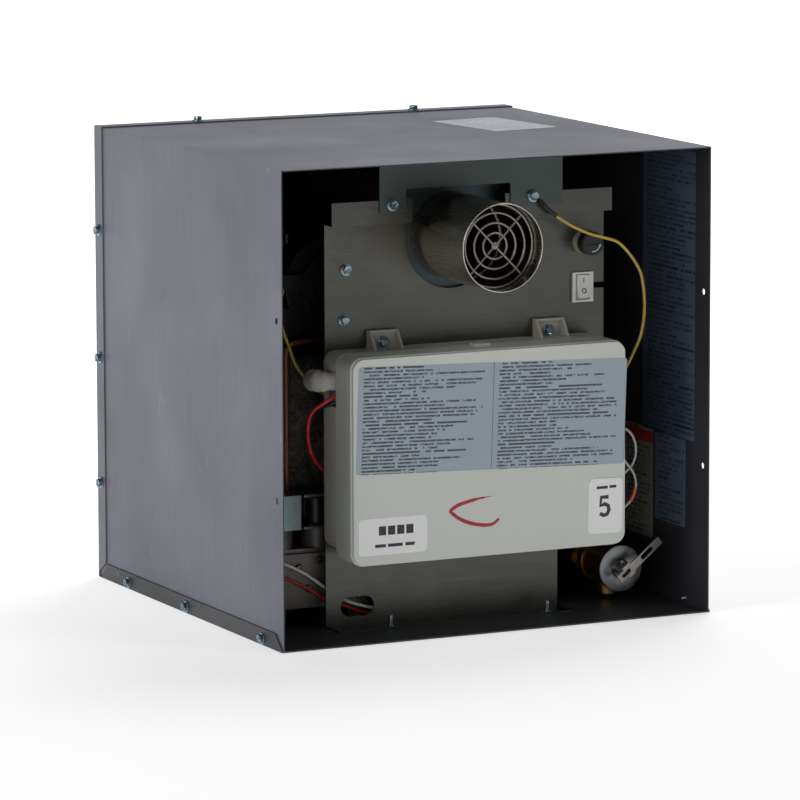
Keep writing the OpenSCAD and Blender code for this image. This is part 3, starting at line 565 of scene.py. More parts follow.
def sheetFinish(name, tone, stain, across, metal, rough, scratches, specks, outer=None, inside=0.3):
    # coated steel: rolled streaks, cloudy stains, pale scratches and tiny specks; with limits given, painted
    # shade darkens everything within them
    f = Finish(name, Metallic=metal)
    streaks = f.group("streaks", Across=across)
    stains = f.group("stains", Scale=9.0, Spread=0.22)
    scratches = f.group("scratches", Across=(60, 60, 9), Amount=scratches)
    grain = f.group("grain", Scale=1300.0, Specks=specks)
    color = f.mix(f.remap(streaks["Fine"], 0.3, 0.7, 0.0, 0.35), tone, shade(tone, 1.25))
    color = f.mix(f.times(streaks["Mask"], 0.22), color, shade(tone, 0.72))
    color = f.mix(f.remap(stains["Cloud"], 0.35, 0.75, 0.0, 0.4), color, shade(tone, 0.8))
    color = f.mix(f.times(stains["Spots"], 0.5), color, stain)
    color = f.mix(f.times(scratches["Mask"], 0.6), color, shade(tone, 3))
    color = f.mix(f.times(grain["Specks"], 0.8), color, [0.5, 0.5, 0.5])
    if outer:
        # everything within these half width and height limits is the inside of the sheet, darkened towards
        # near black as painted shade; inside is the share of the colour that stays
        split = f.split(f.where)
        out = f.math("MAXIMUM", f.math("GREATER_THAN", f.math("ABSOLUTE", split[0]), outer[0]),
                     f.math("GREATER_THAN", split[2], outer[1]))
        color = f.mix(out, f.mix(1 - inside, color, (0.005, 0.005, 0.006)), color)
    f.color(color)
    f.rough(f.remap(stains["Cloud"], 0.3, 0.7, rough - 0.06, rough + 0.08))
    f.bump(grain["Height"], 0.16, 0.0002)
    return f.material


def brushedFinish(name, tone, across, rough, wear=0.3, tint=None, metal=1.0, scale=1.0, mottle=0.35,
                  bump=0.12):
    # bare metal: long brush lines with changing gloss, mottling and scratches
    f = Finish(name, Metallic=metal)
    streaks = f.group("streaks", Across=across)
    stains = f.group("stains", Scale=24.0 * scale, Spread=0.15)
    scratches = f.group("scratches", Across=[c * 0.18 for c in across], Amount=wear)
    color = f.mix(f.remap(streaks["Fine"], 0.3, 0.72), shade(tone, 0.82), shade(tone, 1.12))
    color = f.mix(f.remap(stains["Cloud"], 0.35, 0.7, 0.0, mottle), color, tint or shade(tone, 0.6))
    color = f.mix(f.times(stains["Spots"], 0.3), color, shade(tone, 0.45))
    color = f.mix(f.times(scratches["Mask"], 0.55), color, shade(tone, 1.6))
    f.color(color)
    f.rough(f.plus(f.remap(streaks["Fine"], 0.3, 0.7, rough - 0.07, rough + 0.09),
                   f.times(stains["Cloud"], 0.12)))
    f.bump(streaks["Fine"], bump, 0.0001)
    return f.material


def mouldedFinish(name, tone, rough, grainScale=1600.0, dirt=0.15, bump=0.12, coat=0.0):
    # moulded plastic: an even grain, slight shade changes and a little grime
    f = Finish(name, Coat_Weight=coat)
    grain = f.group("grain", Scale=grainScale, Specks=0.25)
    stains = f.group("stains", Scale=14.0, Spread=0.12)
    color = f.mix(f.remap(stains["Cloud"], 0.35, 0.75, 0.0, 0.5), tone, shade(tone, 0.93))
    color = f.mix(f.times(stains["Spots"], dirt), color, shade(tone, 0.55))
    color = f.mix(f.times(grain["Specks"], dirt), color, shade(tone, 0.4))
    f.color(color)
    f.rough(f.remap(grain["Height"], 0.3, 0.7, rough - 0.05, rough + 0.07))
    f.bump(grain["Height"], bump, 0.00012)
    return f.material


def castFinish(name, tone, metal, rough):
    f = Finish(name, Metallic=metal)
    grain = f.group("grain", Scale=700.0, Specks=0.5)
    stains = f.group("stains", Scale=40.0, Spread=0.3)
    color = f.mix(f.remap(stains["Cloud"], 0.3, 0.7), shade(tone, 0.78), tone)
    color = f.mix(f.times(stains["Spots"], 0.45), color, shade(tone, 0.4))
    f.color(color)
    f.rough(f.remap(grain["Height"], 0.3, 0.7, rough - 0.08, rough + 0.1))
    f.bump(grain["Height"], 0.35, 0.00035)
    return f.material


def fibreFinish(name, tone, dark, warm):
    f = Finish(name, Roughness=1.0)
    coarse = f.noise(f.stretch(f.where, (90, 90, 60)), 1.0, 6, 0.7, 1.2)
    strands = f.noise(f.stretch(f.where, (900, 700, 500)), 1.0, 4, 0.7, 2.0)
    # darker where the coarse bump sinks: painted shade in the wrap's hollows
    color = f.mix(f.remap(coarse, 0.35, 0.7), dark, tone)
    color = f.mix(f.remap(strands, 0.55, 0.75), color, shade(tone, 1.9))
    color = f.mix(f.remap(f.noise(f.where, 35, 3, 0.6), 0.55, 0.7, 0.0, 0.7), color, warm)
    f.color(color)
    f.bump(strands, 0.9, 0.0016)
    f.bump(coarse, 0.9, 0.004)
    return f.material


def knitFinish(name, tone, tracer):
    # a knitted sleeve: U runs along it and V round it, both from its own map
    f = Finish(name, Roughness=0.85)
    split = f.split(f.place.outputs["UV"])
    along, around = split[0], split[1]
    ribs = f.math("SINE", f.times(around, 60 * math.tau))
    offset = f.times(ribs, 0.6)
    loops = f.math("SINE", f.plus(f.times(along, 62 * math.tau), offset))
    height = f.plus(f.times(loops, 0.5), f.times(ribs, 0.5))
    # the low places between the loops are darker: painted shade
    color = f.mix(f.remap(height, -0.9, 0.6), shade(tone, 0.55), tone)
    line = f.times(f.remap(f.math("ABSOLUTE", f.minus(around, 0.3)), 0.006, 0.012, 1.0, 0.0),
                  f.math("GREATER_THAN", f.math("SINE", f.times(along, 24 * math.tau)), -0.35))
    color = f.mix(line, color, tracer)
    f.color(color)
    f.bump(height, 0.6, 0.0004)
    return f.material


def wireFinish(name, tone, stripe=None):
    # extruded insulation; a second colour runs along it as on an earth wire
    f = Finish(name, Coat_Weight=0.25)
    color = tone
    if stripe:
        split = f.split(f.place.outputs["UV"])
        band = f.math("ABSOLUTE", f.minus(split[1], 0.5))
        color = f.mix(f.remap(band, 0.05, 0.065, 1.0, 0.0), tone, stripe)
    smudge = f.noise(f.where, 160, 3, 0.6)
    color = f.mix(f.remap(smudge, 0.5, 0.8, 0.0, 0.35), color, shade(tone, 0.5))
    f.color(color)
    f.rough(f.remap(smudge, 0.3, 0.7, 0.28, 0.45))
    return f.material


def heatTintFinish(name):
    # stainless tube: polished round its length, straw and grey heat colours from the hot end
    f = Finish(name, Metallic=1.0)
    streaks = f.group("streaks", Across=(900, 14, 900), Low=0.4, High=0.65)
    rings = f.group("scratches", Across=(40, 700, 40), Amount=0.35)
    stains = f.group("stains", Scale=16.0, Spread=0.12)
    color = f.mix(f.remap(stains["Cloud"], 0.35, 0.7), (0.5, 0.46, 0.4), (0.6, 0.57, 0.52))
    split = f.split(f.where)
    hot = f.remap(f.plus(split[1], f.times(stains["Cloud"], 0.02)), -0.15, -0.085)
    color = f.mix(f.times(hot, 0.6), color, (0.42, 0.31, 0.2))
    color = f.mix(f.times(rings["Mask"], 0.4), color, (0.85, 0.83, 0.8))
    color = f.mix(f.times(stains["Spots"], 0.12), color, (0.3, 0.22, 0.15))
    f.color(color)
    f.rough(f.plus(f.remap(streaks["Fine"], 0.3, 0.7, 0.2, 0.27), f.times(stains["Cloud"], 0.05)))
    f.bump(streaks["Fine"], 0.02, 0.00005)
    return f.material


def printedFinish(name, paper, ink, pitch, glyph, fill, width, columns=1, margin=4.0, header=None, rough=0.4):
    # a printed sticker; its own map is in millimetres from its upper left corner
    f = Finish(name, Coat_Weight=0.3)
    split = f.split(f.place.outputs["UV"])
    columnWidth = width / columns
    along = f.math("MODULO", split[0], columnWidth)
    # each column has its own rows
    column = f.math("FLOOR", f.math("DIVIDE", split[0], columnWidth))
    joined = f.join(along, f.plus(split[1], f.times(column, pitch * 41)))
    printed = f.group("print", Vector=joined, Pitch=pitch, Glyph=glyph, Fill=fill, Margin=margin,
                      Width=columnWidth)["Ink"]
    fade = f.noise(f.where, 60, 3, 0.6)
    color = f.mix(f.remap(fade, 0.35, 0.75, 0.0, 0.4), paper, shade(paper, 0.86))
    edge = f.math("ABSOLUTE", f.minus(along, columnWidth))
    divider = f.times(f.math("LESS_THAN", edge, 0.3), 1.0 if columns > 1 else 0.0)
    marks = f.math("MAXIMUM", f.times(printed, f.remap(fade, 0.2, 0.8, 1.0, 0.8)), divider)
    color = f.mix(marks, color, ink)
    if header:
        top, bottom, tone = header
        band = f.times(f.math("GREATER_THAN", split[1], top), f.math("LESS_THAN", split[1], bottom))
        color = f.mix(band, color, tone)
    f.color(color)
    f.rough(f.remap(fade, 0.3, 0.7, rough - 0.08, rough + 0.1))
    crease = f.noise(f.stretch(f.where, (30, 30, 90)), 1.0, 3, 0.5)
    f.bump(crease, 0.15, 0.001)
    return f.material


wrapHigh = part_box("case_wrap")[1]
finishes = {
    # within the limits given last, the case's inside gets painted shade
    "case": sheetFinish("caseSteel", (0.165, 0.17, 0.2), (0.1, 0.075, 0.06), (260, 260, 9), 0.55, 0.5, 0.1,
                        0.22, (wrapHigh.x - 0.0004, wrapHigh.z - 0.0004)),
    "pan": sheetFinish("panSteel", (0.06, 0.062, 0.068), (0.04, 0.035, 0.03), (12, 260, 40), 0.5, 0.46, 0.14,
                       0.5),
    # brushed steel with its tone lowered to the plate's shaded brightness: painted shade over its own finish
    "plate": brushedFinish("plateSteel", (0.115, 0.115, 0.106), (16, 16, 900), 0.28, 0.6,
                           (0.075, 0.075, 0.068)),
    "bracket": brushedFinish("bracketSteel", (0.1, 0.12, 0.113), (30, 30, 400), 0.4, 0.1,
                             (0.08, 0.095, 0.088)),
    # the flange's own bluish steel, darkened further as painted shade for its place behind the plate
    "flange": brushedFinish("flangeSteel", (0.07, 0.09, 0.1), (40, 40, 300), 0.4, 0.1, (0.05, 0.065, 0.07)),
    "inner": brushedFinish("innerSteel", (0.4, 0.4, 0.39), (300, 30, 30), 0.45, 0.2, (0.3, 0.29, 0.27)),
    "zinc": brushedFinish("zincScrew", (0.27, 0.36, 0.42), (500, 500, 500), 0.2, 0.2, (0.18, 0.22, 0.21),
                          scale=8.0),
    "box": mouldedFinish("boxPlastic", (0.6, 0.62, 0.58), 0.42),
    "boxBack": mouldedFinish("boxBackPlastic", (0.5, 0.48, 0.43), 0.42),
    "grille": brushedFinish("grilleSteel", (0.3, 0.28, 0.26), (300, 300, 300), 0.3, 0.1),
    "darkScrew": brushedFinish("darkScrew", (0.12, 0.12, 0.12), (500, 500, 500), 0.35, 0.1, scale=6.0),
    "yoke": brushedFinish("yokeSteel", (0.3, 0.4, 0.42), (200, 200, 200), 0.35, 0.1, (0.25, 0.36, 0.34),
                          scale=3.0),
    "strand": mouldedFinish("strandFibre", (0.3, 0.28, 0.24), 0.9),
    "board": mouldedFinish("boardMask", (0.03, 0.16, 0.07), 0.35),
    "tube": heatTintFinish("tubeSteel"),
    "copper": brushedFinish("copperTube", (0.72, 0.36, 0.2), (200, 200, 200), 0.32, 0.1, (0.4, 0.16, 0.08),
                            mottle=0.6),
    "fibre": fibreFinish("insulationFibre", (0.2, 0.19, 0.165), (0.035, 0.032, 0.028), (0.16, 0.11, 0.05)),
    "cast": castFinish("castAlloy", (0.18, 0.165, 0.155), 0.55, 0.5),
    "ceramic": mouldedFinish("whiteCeramic", (0.78, 0.76, 0.68), 0.2, dirt=0.3),
    "black": mouldedFinish("blackPlastic", (0.008, 0.008, 0.009), 0.4, 1200.0, 0.3, 0.2),
    "red": mouldedFinish("redPlastic", (0.5, 0.03, 0.035), 0.3),
    "white": mouldedFinish("switchPlastic", (0.74, 0.74, 0.7), 0.3, 2200.0, 0.1, 0.05, 0.2),
    "steel": brushedFinish("turnedSteel", (0.5, 0.5, 0.5), (500, 500, 500), 0.3, 0.1),
    "brass": brushedFinish("machinedBrass", (0.62, 0.41, 0.13), (60, 500, 60), 0.3, 0.1, (0.32, 0.18, 0.05),
                           mottle=0.7),
    "chrome": brushedFinish("polishedCap", (0.3, 0.31, 0.32), (60, 60, 60), 0.3, 0.0, (0.27, 0.28, 0.29),
                            mottle=0.15, bump=0.0),
    "lever": brushedFinish("leverSteel", (0.38, 0.36, 0.33), (700, 200, 700), 0.3, 0.2),
    "fuse": mouldedFinish("fusePlastic", (0.5, 0.43, 0.3), 0.4),
    "knit": knitFinish("knitSleeve", (0.72, 0.69, 0.65), (0.6, 0.03, 0.05)),
    "earthWire": wireFinish("earthWire", (0.72, 0.36, 0.012), (0.2, 0.4, 0.16)),
    "redWire": wireFinish("redWire", (0.55, 0.015, 0.02)),
    "blackWire": wireFinish("blackWire", (0.015, 0.015, 0.017)),
    "whiteWire": wireFinish("whiteWire", (0.75, 0.74, 0.72)),
    "yellowWire": wireFinish("yellowWire", (0.62, 0.5, 0.05)),
    "orangeWire": wireFinish("orangeWire", (0.75, 0.18, 0.03)),
    "boxLabel": printedFinish("boxLabelPrint", (0.33, 0.39, 0.44), (0.01, 0.014, 0.02), 2.4, 1.5, 0.84, 203,
                              2),
    "sideLabel": printedFinish("sideLabelPrint", (0.065, 0.085, 0.12), (0.01, 0.01, 0.02), 3.4, 1.6, 0.62,
                               200, 2, 6.0),
    "smallLabel": printedFinish("smallLabelPrint", (0.1, 0.13, 0.18), (0.015, 0.015, 0.02), 3.6, 1.8, 0.6,
                                46, 1, 5.0),
    "alertLabel": printedFinish("alertLabelPrint", (0.26, 0.25, 0.22), (0.02, 0.02, 0.02), 3.3, 1.5, 0.6, 40,
                                1, 3.0, (3.0, 11.0, (0.42, 0.03, 0.03))),
    "topLabel": printedFinish("topLabelPrint", (0.4, 0.44, 0.47), (0.16, 0.19, 0.22), 4.2, 1.9, 0.55, 52, 1,
                              4.0),
    "plainSticker": mouldedFinish("plainSticker", (0.8, 0.81, 0.8), 0.38, 2500.0, 0.05, 0.03, 0.2),
    "markInk": mouldedFinish("markInk", (0.03, 0.03, 0.035), 0.5, dirt=0.05),
    "markerInk": mouldedFinish("markerInk", (0.38, 0.015, 0.03), 0.35, dirt=0.05),
    "paleInk": mouldedFinish("paleInk", (0.35, 0.5, 0.62), 0.45, dirt=0.05),
}
print("materials ready:", len(finishes))


# cords: leads held between two places in the heater


cords = {
    "groundLead": {
        "route": [(54, -109.3, 286), (58, -111.5, 281), (65, -113, 275), (76, -114, 268), (89, -115, 262),
                  (99, -115, 259), (111, -115, 255), (121, -114, 246), (130, -112, 234), (134, -110, 222),
                  (136, -108, 206), (134, -107, 189), (129, -106, 177), (122, -105, 164), (114, -105, 154),
                  (104, -106, 148)],
        "radius": 1.1, "node": "ground_wire", "finish": "earthWire", "stiffness": "medium"},
    "redLead": {
        "route": [(-100, -110, 162), (-107, -108, 158), (-114, -101, 150), (-114, -95, 136), (-109, -90, 121),
                  (-100, -85, 110), (-88, -81, 100), (-80, -76, 92), (-77, -72, 80), (-77, -70, 54)],
        "radius": 1.3, "node": "lead_wires", "finish": "redWire", "stiffness": "medium"},
    "blackLead": {
        "route": [(-100, -111, 158), (-106, -105, 155), (-106, -95, 151), (-100, -87, 142), (-90, -80, 120),
                  (-74, -76, 98), (-70, -72, 80), (-70, -70, 54)],
        "radius": 1.3, "node": "lead_wires", "finish": "blackWire", "stiffness": "medium"},
    "whiteLead": {
        "route": [(-140.3, -71, 50), (-145, -74, 50), (-138, -86, 49), (-128, -88, 46), (-113, -88.5, 38),
                  (-99, -89, 28), (-82, -89, 17), (-60, -87, 10), (-40, -80, 7), (-20, -70, 8),
                  (-10, -60, 14), (-6, -52, 24), (-6, -50, 29)],
        "radius": 1.1, "node": "lead_wires", "finish": "whiteWire", "stiffness": "medium"},
    "scarletLead": {
        "route": [(-140.3, -66, 40), (-145.5, -70, 40), (-139, -85, 39), (-128, -86.8, 36), (-113, -88, 29),
                  (-99, -88, 20), (-82, -86, 13), (-62, -82, 6), (-40, -74, 4), (-20, -64, 6), (4, -56, 16),
                  (10, -52, 25), (10, -50, 29)],
        "radius": 1.1, "node": "lead_wires", "finish": "redWire", "stiffness": "medium"},
    "yellowLead": {
        "route": [(-112, -53, 228), (-117, -57, 218), (-118, -61, 207), (-113, -62, 192), (-107, -62, 177),
                  (-97, -64, 164), (-80, -68, 150), (-55, -70, 130), (-40, -68, 110), (-34, -64, 100)],
        "radius": 1.1, "node": "lead_wires", "finish": "yellowWire", "stiffness": "medium"},
    "probeLead": {
        "route": [(105, -106, 130), (117, -104, 126), (129.5, -101, 119), (134, -100, 107), (131, -98, 95),
                  (118, -92, 84), (104, -80, 74), (100, -60, 60), (108, -44, 46), (120, -34, 36)],
        "radius": 0.9, "node": "sensor_wires", "finish": "whiteWire", "stiffness": "limp"},
    "senseLead": {
        "route": [(105, -106, 110), (119, -104, 104), (128, -101, 96), (133, -100, 89), (134, -100, 81),
                  (131, -98, 71), (122, -92, 62), (112, -80, 56), (110, -60, 50), (116, -44, 40),
                  (125, -34, 36)],
        "radius": 0.9, "node": "sensor_wires", "finish": "whiteWire", "stiffness": "limp"},
}


def makeCord(name, settings):
    route = spread(settings["route"], 5)
    cord = curveAlong(name, route, settings["radius"] * mm, 4)
    cord.data.materials.append(finishes[settings["finish"]])
    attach(cord, "root")
    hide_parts(settings["node"])


for cordName, cordSettings in cords.items():
    makeCord(cordName, cordSettings)
print("cords laid:", len(cords))


# sheet metal case

def makeRows(rows):
    for node, edge, finish, *segments in rows:
        softCopy(node, edge, finish, *segments)


caseSettings = [
    # node, edge in mm, finish, segments if not 2
    ("case_wrap", 0.22, "case", 1),
    ("back_panel", 0.22, "case", 1),
    ("bottom_pan", 0.22, "pan", 1),
    ("front_plate", 0.25, "plate"),
    ("hanger_bracket", 0.25, "bracket"),
    ("flue_flange", 0.2, "flange"),
    ("blower_bracket", 0.2, "plate"),
    ("foot_studs", 0.15, "zinc"),
]


screwSettings = {
    "washer": 4.1, "washerHigh": 0.7, "washerRound": 0.22,
    "hex": 3.1, "hexHigh": 2.6, "hexRound": 0.2, "dishRim": 0.55, "dishDeep": 0.35,
    "slot": 0.9, "slotDeep": 1.1, "shank": 1.6, "long": 7.0, "tip": 1.2, "pitch": 0.9, "thread": 0.78,
    "taper": 0.8,
}


def modelScrew(s):
    # head up along Z, with its washer's seat at zero
    washer = added(shapes.primitive_cylinder_add, vertices=40, radius=s["washer"] * mm,
                   depth=s["washerHigh"] * mm, location=(0, 0, s["washerHigh"] * mm / 2))
    bevel(washer, s["washerRound"], 2)
    head = added(shapes.primitive_cylinder_add, vertices=6, radius=s["hex"] * mm, depth=s["hexHigh"] * mm,
                 location=(0, 0, (s["washerHigh"] + s["hexHigh"] / 2) * mm))
    editMode(head, "FACE")
    pickFaces(head, lambda at, normal: normal.z > 0.9)
    bpy.ops.mesh.inset(thickness=s["dishRim"] * mm, depth=0)
    bpy.ops.transform.translate(value=(0, 0, -s["dishDeep"] * mm))
    objectMode()
    bevel(head, s["hexRound"], 2, 20)
    top = (s["washerHigh"] + s["hexHigh"]) * mm
    cutAway(head, block((9, s["slot"], 2 * s["slotDeep"]), (0, 0, top)))
    rings = int((s["long"] - s["tip"]) / (s["pitch"] / 2))
    shank = added(shapes.primitive_circle_add, vertices=16, radius=s["shank"] * mm, location=(0, 0, 0),
                  fill_type="NGON")
    editMode(shank, "EDGE")
    bpy.ops.mesh.select_all(action="SELECT")
    for k in range(rings):
        bpy.ops.mesh.extrude_region_move(TRANSFORM_OT_translate={"value": (0, 0, -s["pitch"] / 2 * mm)})
        factor = s["thread"] if k % 2 == 0 else 1 / s["thread"]
        if k > rings - 4:
            factor *= s["taper"]
        bpy.ops.transform.resize(value=(factor, factor, 1))
    objectMode()
    screw = joinAll([washer, head, shank])
    applyPlace(screw)
    bpy.ops.object.shade_smooth_by_angle(angle=math.radians(30))
    return screw


def placeHeads(node, model, high, name, finish, outwardOf):
    # one copy of the model on every island of a node, its top level with the island's outer end
    count = 0
    for lowest, highest in islands(node):
        place = (lowest + highest) / 2
        outward = outwardOf(lowest, highest, place)
        axis = max(range(3), key=lambda i: abs(outward[i]))
        top = highest if outward[axis] > 0 else lowest
        seat = place.copy()
        seat[axis] = top[axis] - outward[axis] * high
        head = newObject(name, model.data.copy())
        turn = Vector((0, 0, 1)).rotation_difference(outward).to_matrix().to_4x4()
        spin = Matrix.Rotation(random.uniform(0, math.tau), 4, "Z")
        head.matrix_world = Matrix.Translation(seat) @ turn @ spin
        count += 1
        finishPiece(head, f"{name}{count:02d}", "root", finish, (node,), 0)
    bpy.data.objects.remove(model)


def outwardFromCase(lowest, highest, place):
    size = highest - lowest
    axis = max(range(3), key=lambda i: size[i])
    outward = Vector((0, 0, 0))
    if axis == 0:
        outward.x = math.copysign(1, place.x)
    elif axis == 2:
        outward.z = 1
    else:
        outward.y = 1 if place.y > middle("case_wrap").y else -1
    return outward


crossSettings = {"radius": 2.7, "high": 1.9, "round": 0.8, "slot": 0.75, "deep": 0.9, "long": 3.4}


def modelCrossHead(s):
    head = added(shapes.primitive_cylinder_add, vertices=32, radius=s["radius"] * mm, depth=s["high"] * mm,
                 location=(0, 0, s["high"] * mm / 2))
    bevel(head, s["round"], 4)
    for turn in (0, 90):
        cutAway(head, block((s["long"], s["slot"], 2 * s["deep"]), (0, 0, s["high"] * mm), turn))
    applyPlace(head)
    bpy.ops.object.shade_smooth_by_angle(angle=math.radians(35))
    return head


def makeScrews():
    hexHigh = (screwSettings["washerHigh"] + screwSettings["hexHigh"]) * mm
    placeHeads("sheet_screws", modelScrew(screwSettings), hexHigh, "sheetScrew",
               finishes["zinc"], outwardFromCase)
    placeHeads("valve_screws", modelCrossHead(crossSettings), crossSettings["high"] * mm, "valveScrew",
               finishes["darkScrew"], lambda lowest, highest, place: Vector((0, -1, 0)))


makeRows(caseSettings)
makeScrews()
print("case, plate and screws ready")


# stickers

def makeSticker(name, width, height, centre, facing, finish, tilt, corner, thick, slotName):
    # facing: the way the print looks; width runs to the reader's right, all in millimetres
    sticker = added(shapes.primitive_plane_add, size=1)
    sticker.scale = (width * mm, height * mm, 1)
    applyPlace(sticker)
    editMode(sticker)
    bpy.ops.mesh.select_all(action="SELECT")
    bpy.ops.mesh.bevel(offset=corner * mm, segments=6, affect="VERTICES")
    objectMode()
    if not sticker.data.uv_layers:
        sticker.data.uv_layers.new(name="print")
    uvs = sticker.data.uv_layers[0]
    for loop in sticker.data.loops:
        at = sticker.data.vertices[loop.vertex_index].co
        uvs.data[loop.index].uv = (at.x / mm + width / 2, height / 2 - at.y / mm)
    addModifier(sticker, "SOLIDIFY", thickness=thick * mm, offset=1)
    turns = {
        "front": Matrix.Rotation(math.radians(90), 4, "X"),
        "left": Matrix.Rotation(math.radians(-90), 4, "Z") @ Matrix.Rotation(math.radians(90), 4, "X"),
        "up": Matrix.Identity(4),
    }
    sticker.matrix_world = (Matrix.Translation(Vector(centre) * mm) @ turns[facing]
                            @ Matrix.Rotation(math.radians(tilt), 4, "Z"))
    finishPiece(sticker, name, "root", finishes[finish], (), 30)


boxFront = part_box("control_box_cover")[0].y / mm
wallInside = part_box("case_wrap")[1].x / mm - 1
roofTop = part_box("case_wrap")[1].z / mm

stickerSettings = [
    # name, width, height, centre, facing, finish, tilt, corner, thickness, slot
    ("boxLabel", 203, 73, (3, boxFront, 145.6), "front", "boxLabel", -1.9, 2.5, 0.12, "box_plastic"),
    ("typeSticker", 51, 25, (-72, boxFront, 69.5), "front", "plainSticker", 0, 3.0, 0.12, "box_plastic"),
    ("testSticker", 26, 38, (89, boxFront, 77.5), "front", "plainSticker", -1, 3.5, 0.5, "box_plastic"),
    ("sideLabelLong", 75, 200, (wallInside, -99, 216), "left", "sideLabel", 0, 2.0, 0.12, "case_steel"),
    ("sideLabelSmall", 44, 61, (wallInside, -102, 84.5), "left", "smallLabel", 0, 2.0, 0.12, "case_steel"),
    ("alertLabel", 40, 78, (wallInside, -57, 78), "left", "alertLabel", 0, 2.0, 0.12, "case_steel"),
    ("topLabel", 52, 82, (96.5, 42, roofTop), "up", "topLabel", 7, 3.0, 0.12, "case_steel"),
]

for row in stickerSettings:
    makeSticker(*row)


markSettings = {
    "swoosh": [(2, 90.7), (-4, 90.2), (-10.6, 89.3), (-22, 86.8), (-28.3, 83.5), (-28, 81.4), (-20.4, 76),
               (-10.6, 72.5), (-1.5, 71.1), (3.8, 72), (7.6, 75)],
    "swooshWide": [0.3, 0.75, 1.15, 1.3, 1.2, 1.2, 1.3, 1.25, 1.15, 0.95, 0.4],
    # bars on the two white stickers: x, z, width, height
    "bars": [(-80, 73.4, 5.4, 6.2), (-73.2, 73.4, 5.4, 6.2), (-66.4, 73.4, 5.4, 6.2), (-59.6, 73.4, 5.4, 6.2),
             (-81.5, 63.2, 8, 2.2), (-70.5, 63.2, 11, 2.2), (-59.5, 63.2, 7, 2.2),
             (86.3, 90.3, 8.6, 1.9), (94.6, 90.5, 5.2, 1.9)],
    # how far the bars stand out of the box: on the thin sticker, and on the thick one right of this x
    "proudThin": 0.13, "proudThick": 0.52, "thickFrom": 76, "ink": 0.06,
    # the strokes of the plain digit on the test sticker
    "digit": [(91.2, 83.5), (85.6, 83.5), (85, 77.8), (88.2, 78.8), (91, 77.4), (91.6, 74.4), (90.2, 71.6),
              (87.4, 70.9), (84.6, 72.4)],
}


def flatten(piece, axis, factor, about):
    # press or stretch a tube along one axis
    for vertex in piece.data.vertices:
        vertex.co[axis] = about + (vertex.co[axis] - about) * factor


def makeMarks(s):
    y = boxFront
    swoosh = tubeAlong([(p.x, y, p.z) for p in spread([(x, y, z) for x, z in s["swoosh"]], 5)],
                       [s["swooshWide"][min(i // 5, 10)] for i in range(5 * (len(s["swoosh"]) - 1) + 1)])
    flatten(swoosh, 1, 0.12, y * mm)
    finishPiece(swoosh, "markerStroke", "root", finishes["markerInk"])
    digit = tubeAlong([(x, y - 0.5, z) for x, z in s["digit"]], 1.4)
    flatten(digit, 1, 0.08, (y - 0.5) * mm)
    finishPiece(digit, "testDigit", "root", finishes["markInk"])
    bars = []
    for x, z, width, height in s["bars"]:
        proud = s["proudThick"] if x > s["thickFrom"] else s["proudThin"]
        bar = block((width, s["ink"], height), (x * mm, (y - proud) * mm, z * mm))
        addModifier(bar, "BEVEL", width=0.025 * mm, segments=1)
        bars.append(bar)
    finishPiece(joinAll(bars), "stickerBars", "root", finishes["markInk"])


makeMarks(markSettings)
print("stickers ready")


# control box

softCopy("control_box_cover", 0.9, "box", 3, 40, 50)
softCopy("control_box_base", 0.5, "boxBack", 2, 40, 50)
softCopy("control_board", 0.15, "board", 1)


# exhaust

grilleSettings = {"rings": (8.8, 15.5, 22.3, 28.1), "bar": 0.85, "hub": 2.7, "deep": 12.6}


def makeGrille(s):
    centre = middle("exhaust_tube")
    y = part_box("exhaust_tube")[0].y + s["deep"] * mm
    bars = []
    for radius in s["rings"]:
        bars.append(added(shapes.primitive_torus_add, major_radius=radius * mm, minor_radius=s["bar"] * mm,
                          major_segments=96, minor_segments=12, location=(centre.x, y, centre.z),
                          rotation=(math.radians(90), 0, 0)))
    for angle in (45, 135):
        bars.append(added(shapes.primitive_cylinder_add, vertices=16, radius=s["bar"] * mm,
                          depth=2 * s["rings"][-1] * mm,
                          location=(centre.x, y, centre.z), rotation=(0, math.radians(angle), 0)))
    hub = added(shapes.primitive_uv_sphere_add, segments=32, ring_count=16, radius=s["hub"] * mm,
                location=(centre.x, y, centre.z))
    hub.scale = (1, 0.4, 1)
    bars.append(hub)
    for bar in bars:
        applyPlace(bar)
    grille = joinAll(bars)
    finishPiece(grille, "exhaustGrille", "root", finishes["grille"],
                ("exhaust_grille",), 40)


softCopy("exhaust_tube", 0.3, "tube", 3)
softCopy("flue_hood", 0.3, "inner")
makeGrille(grilleSettings)


# the rest of the engine

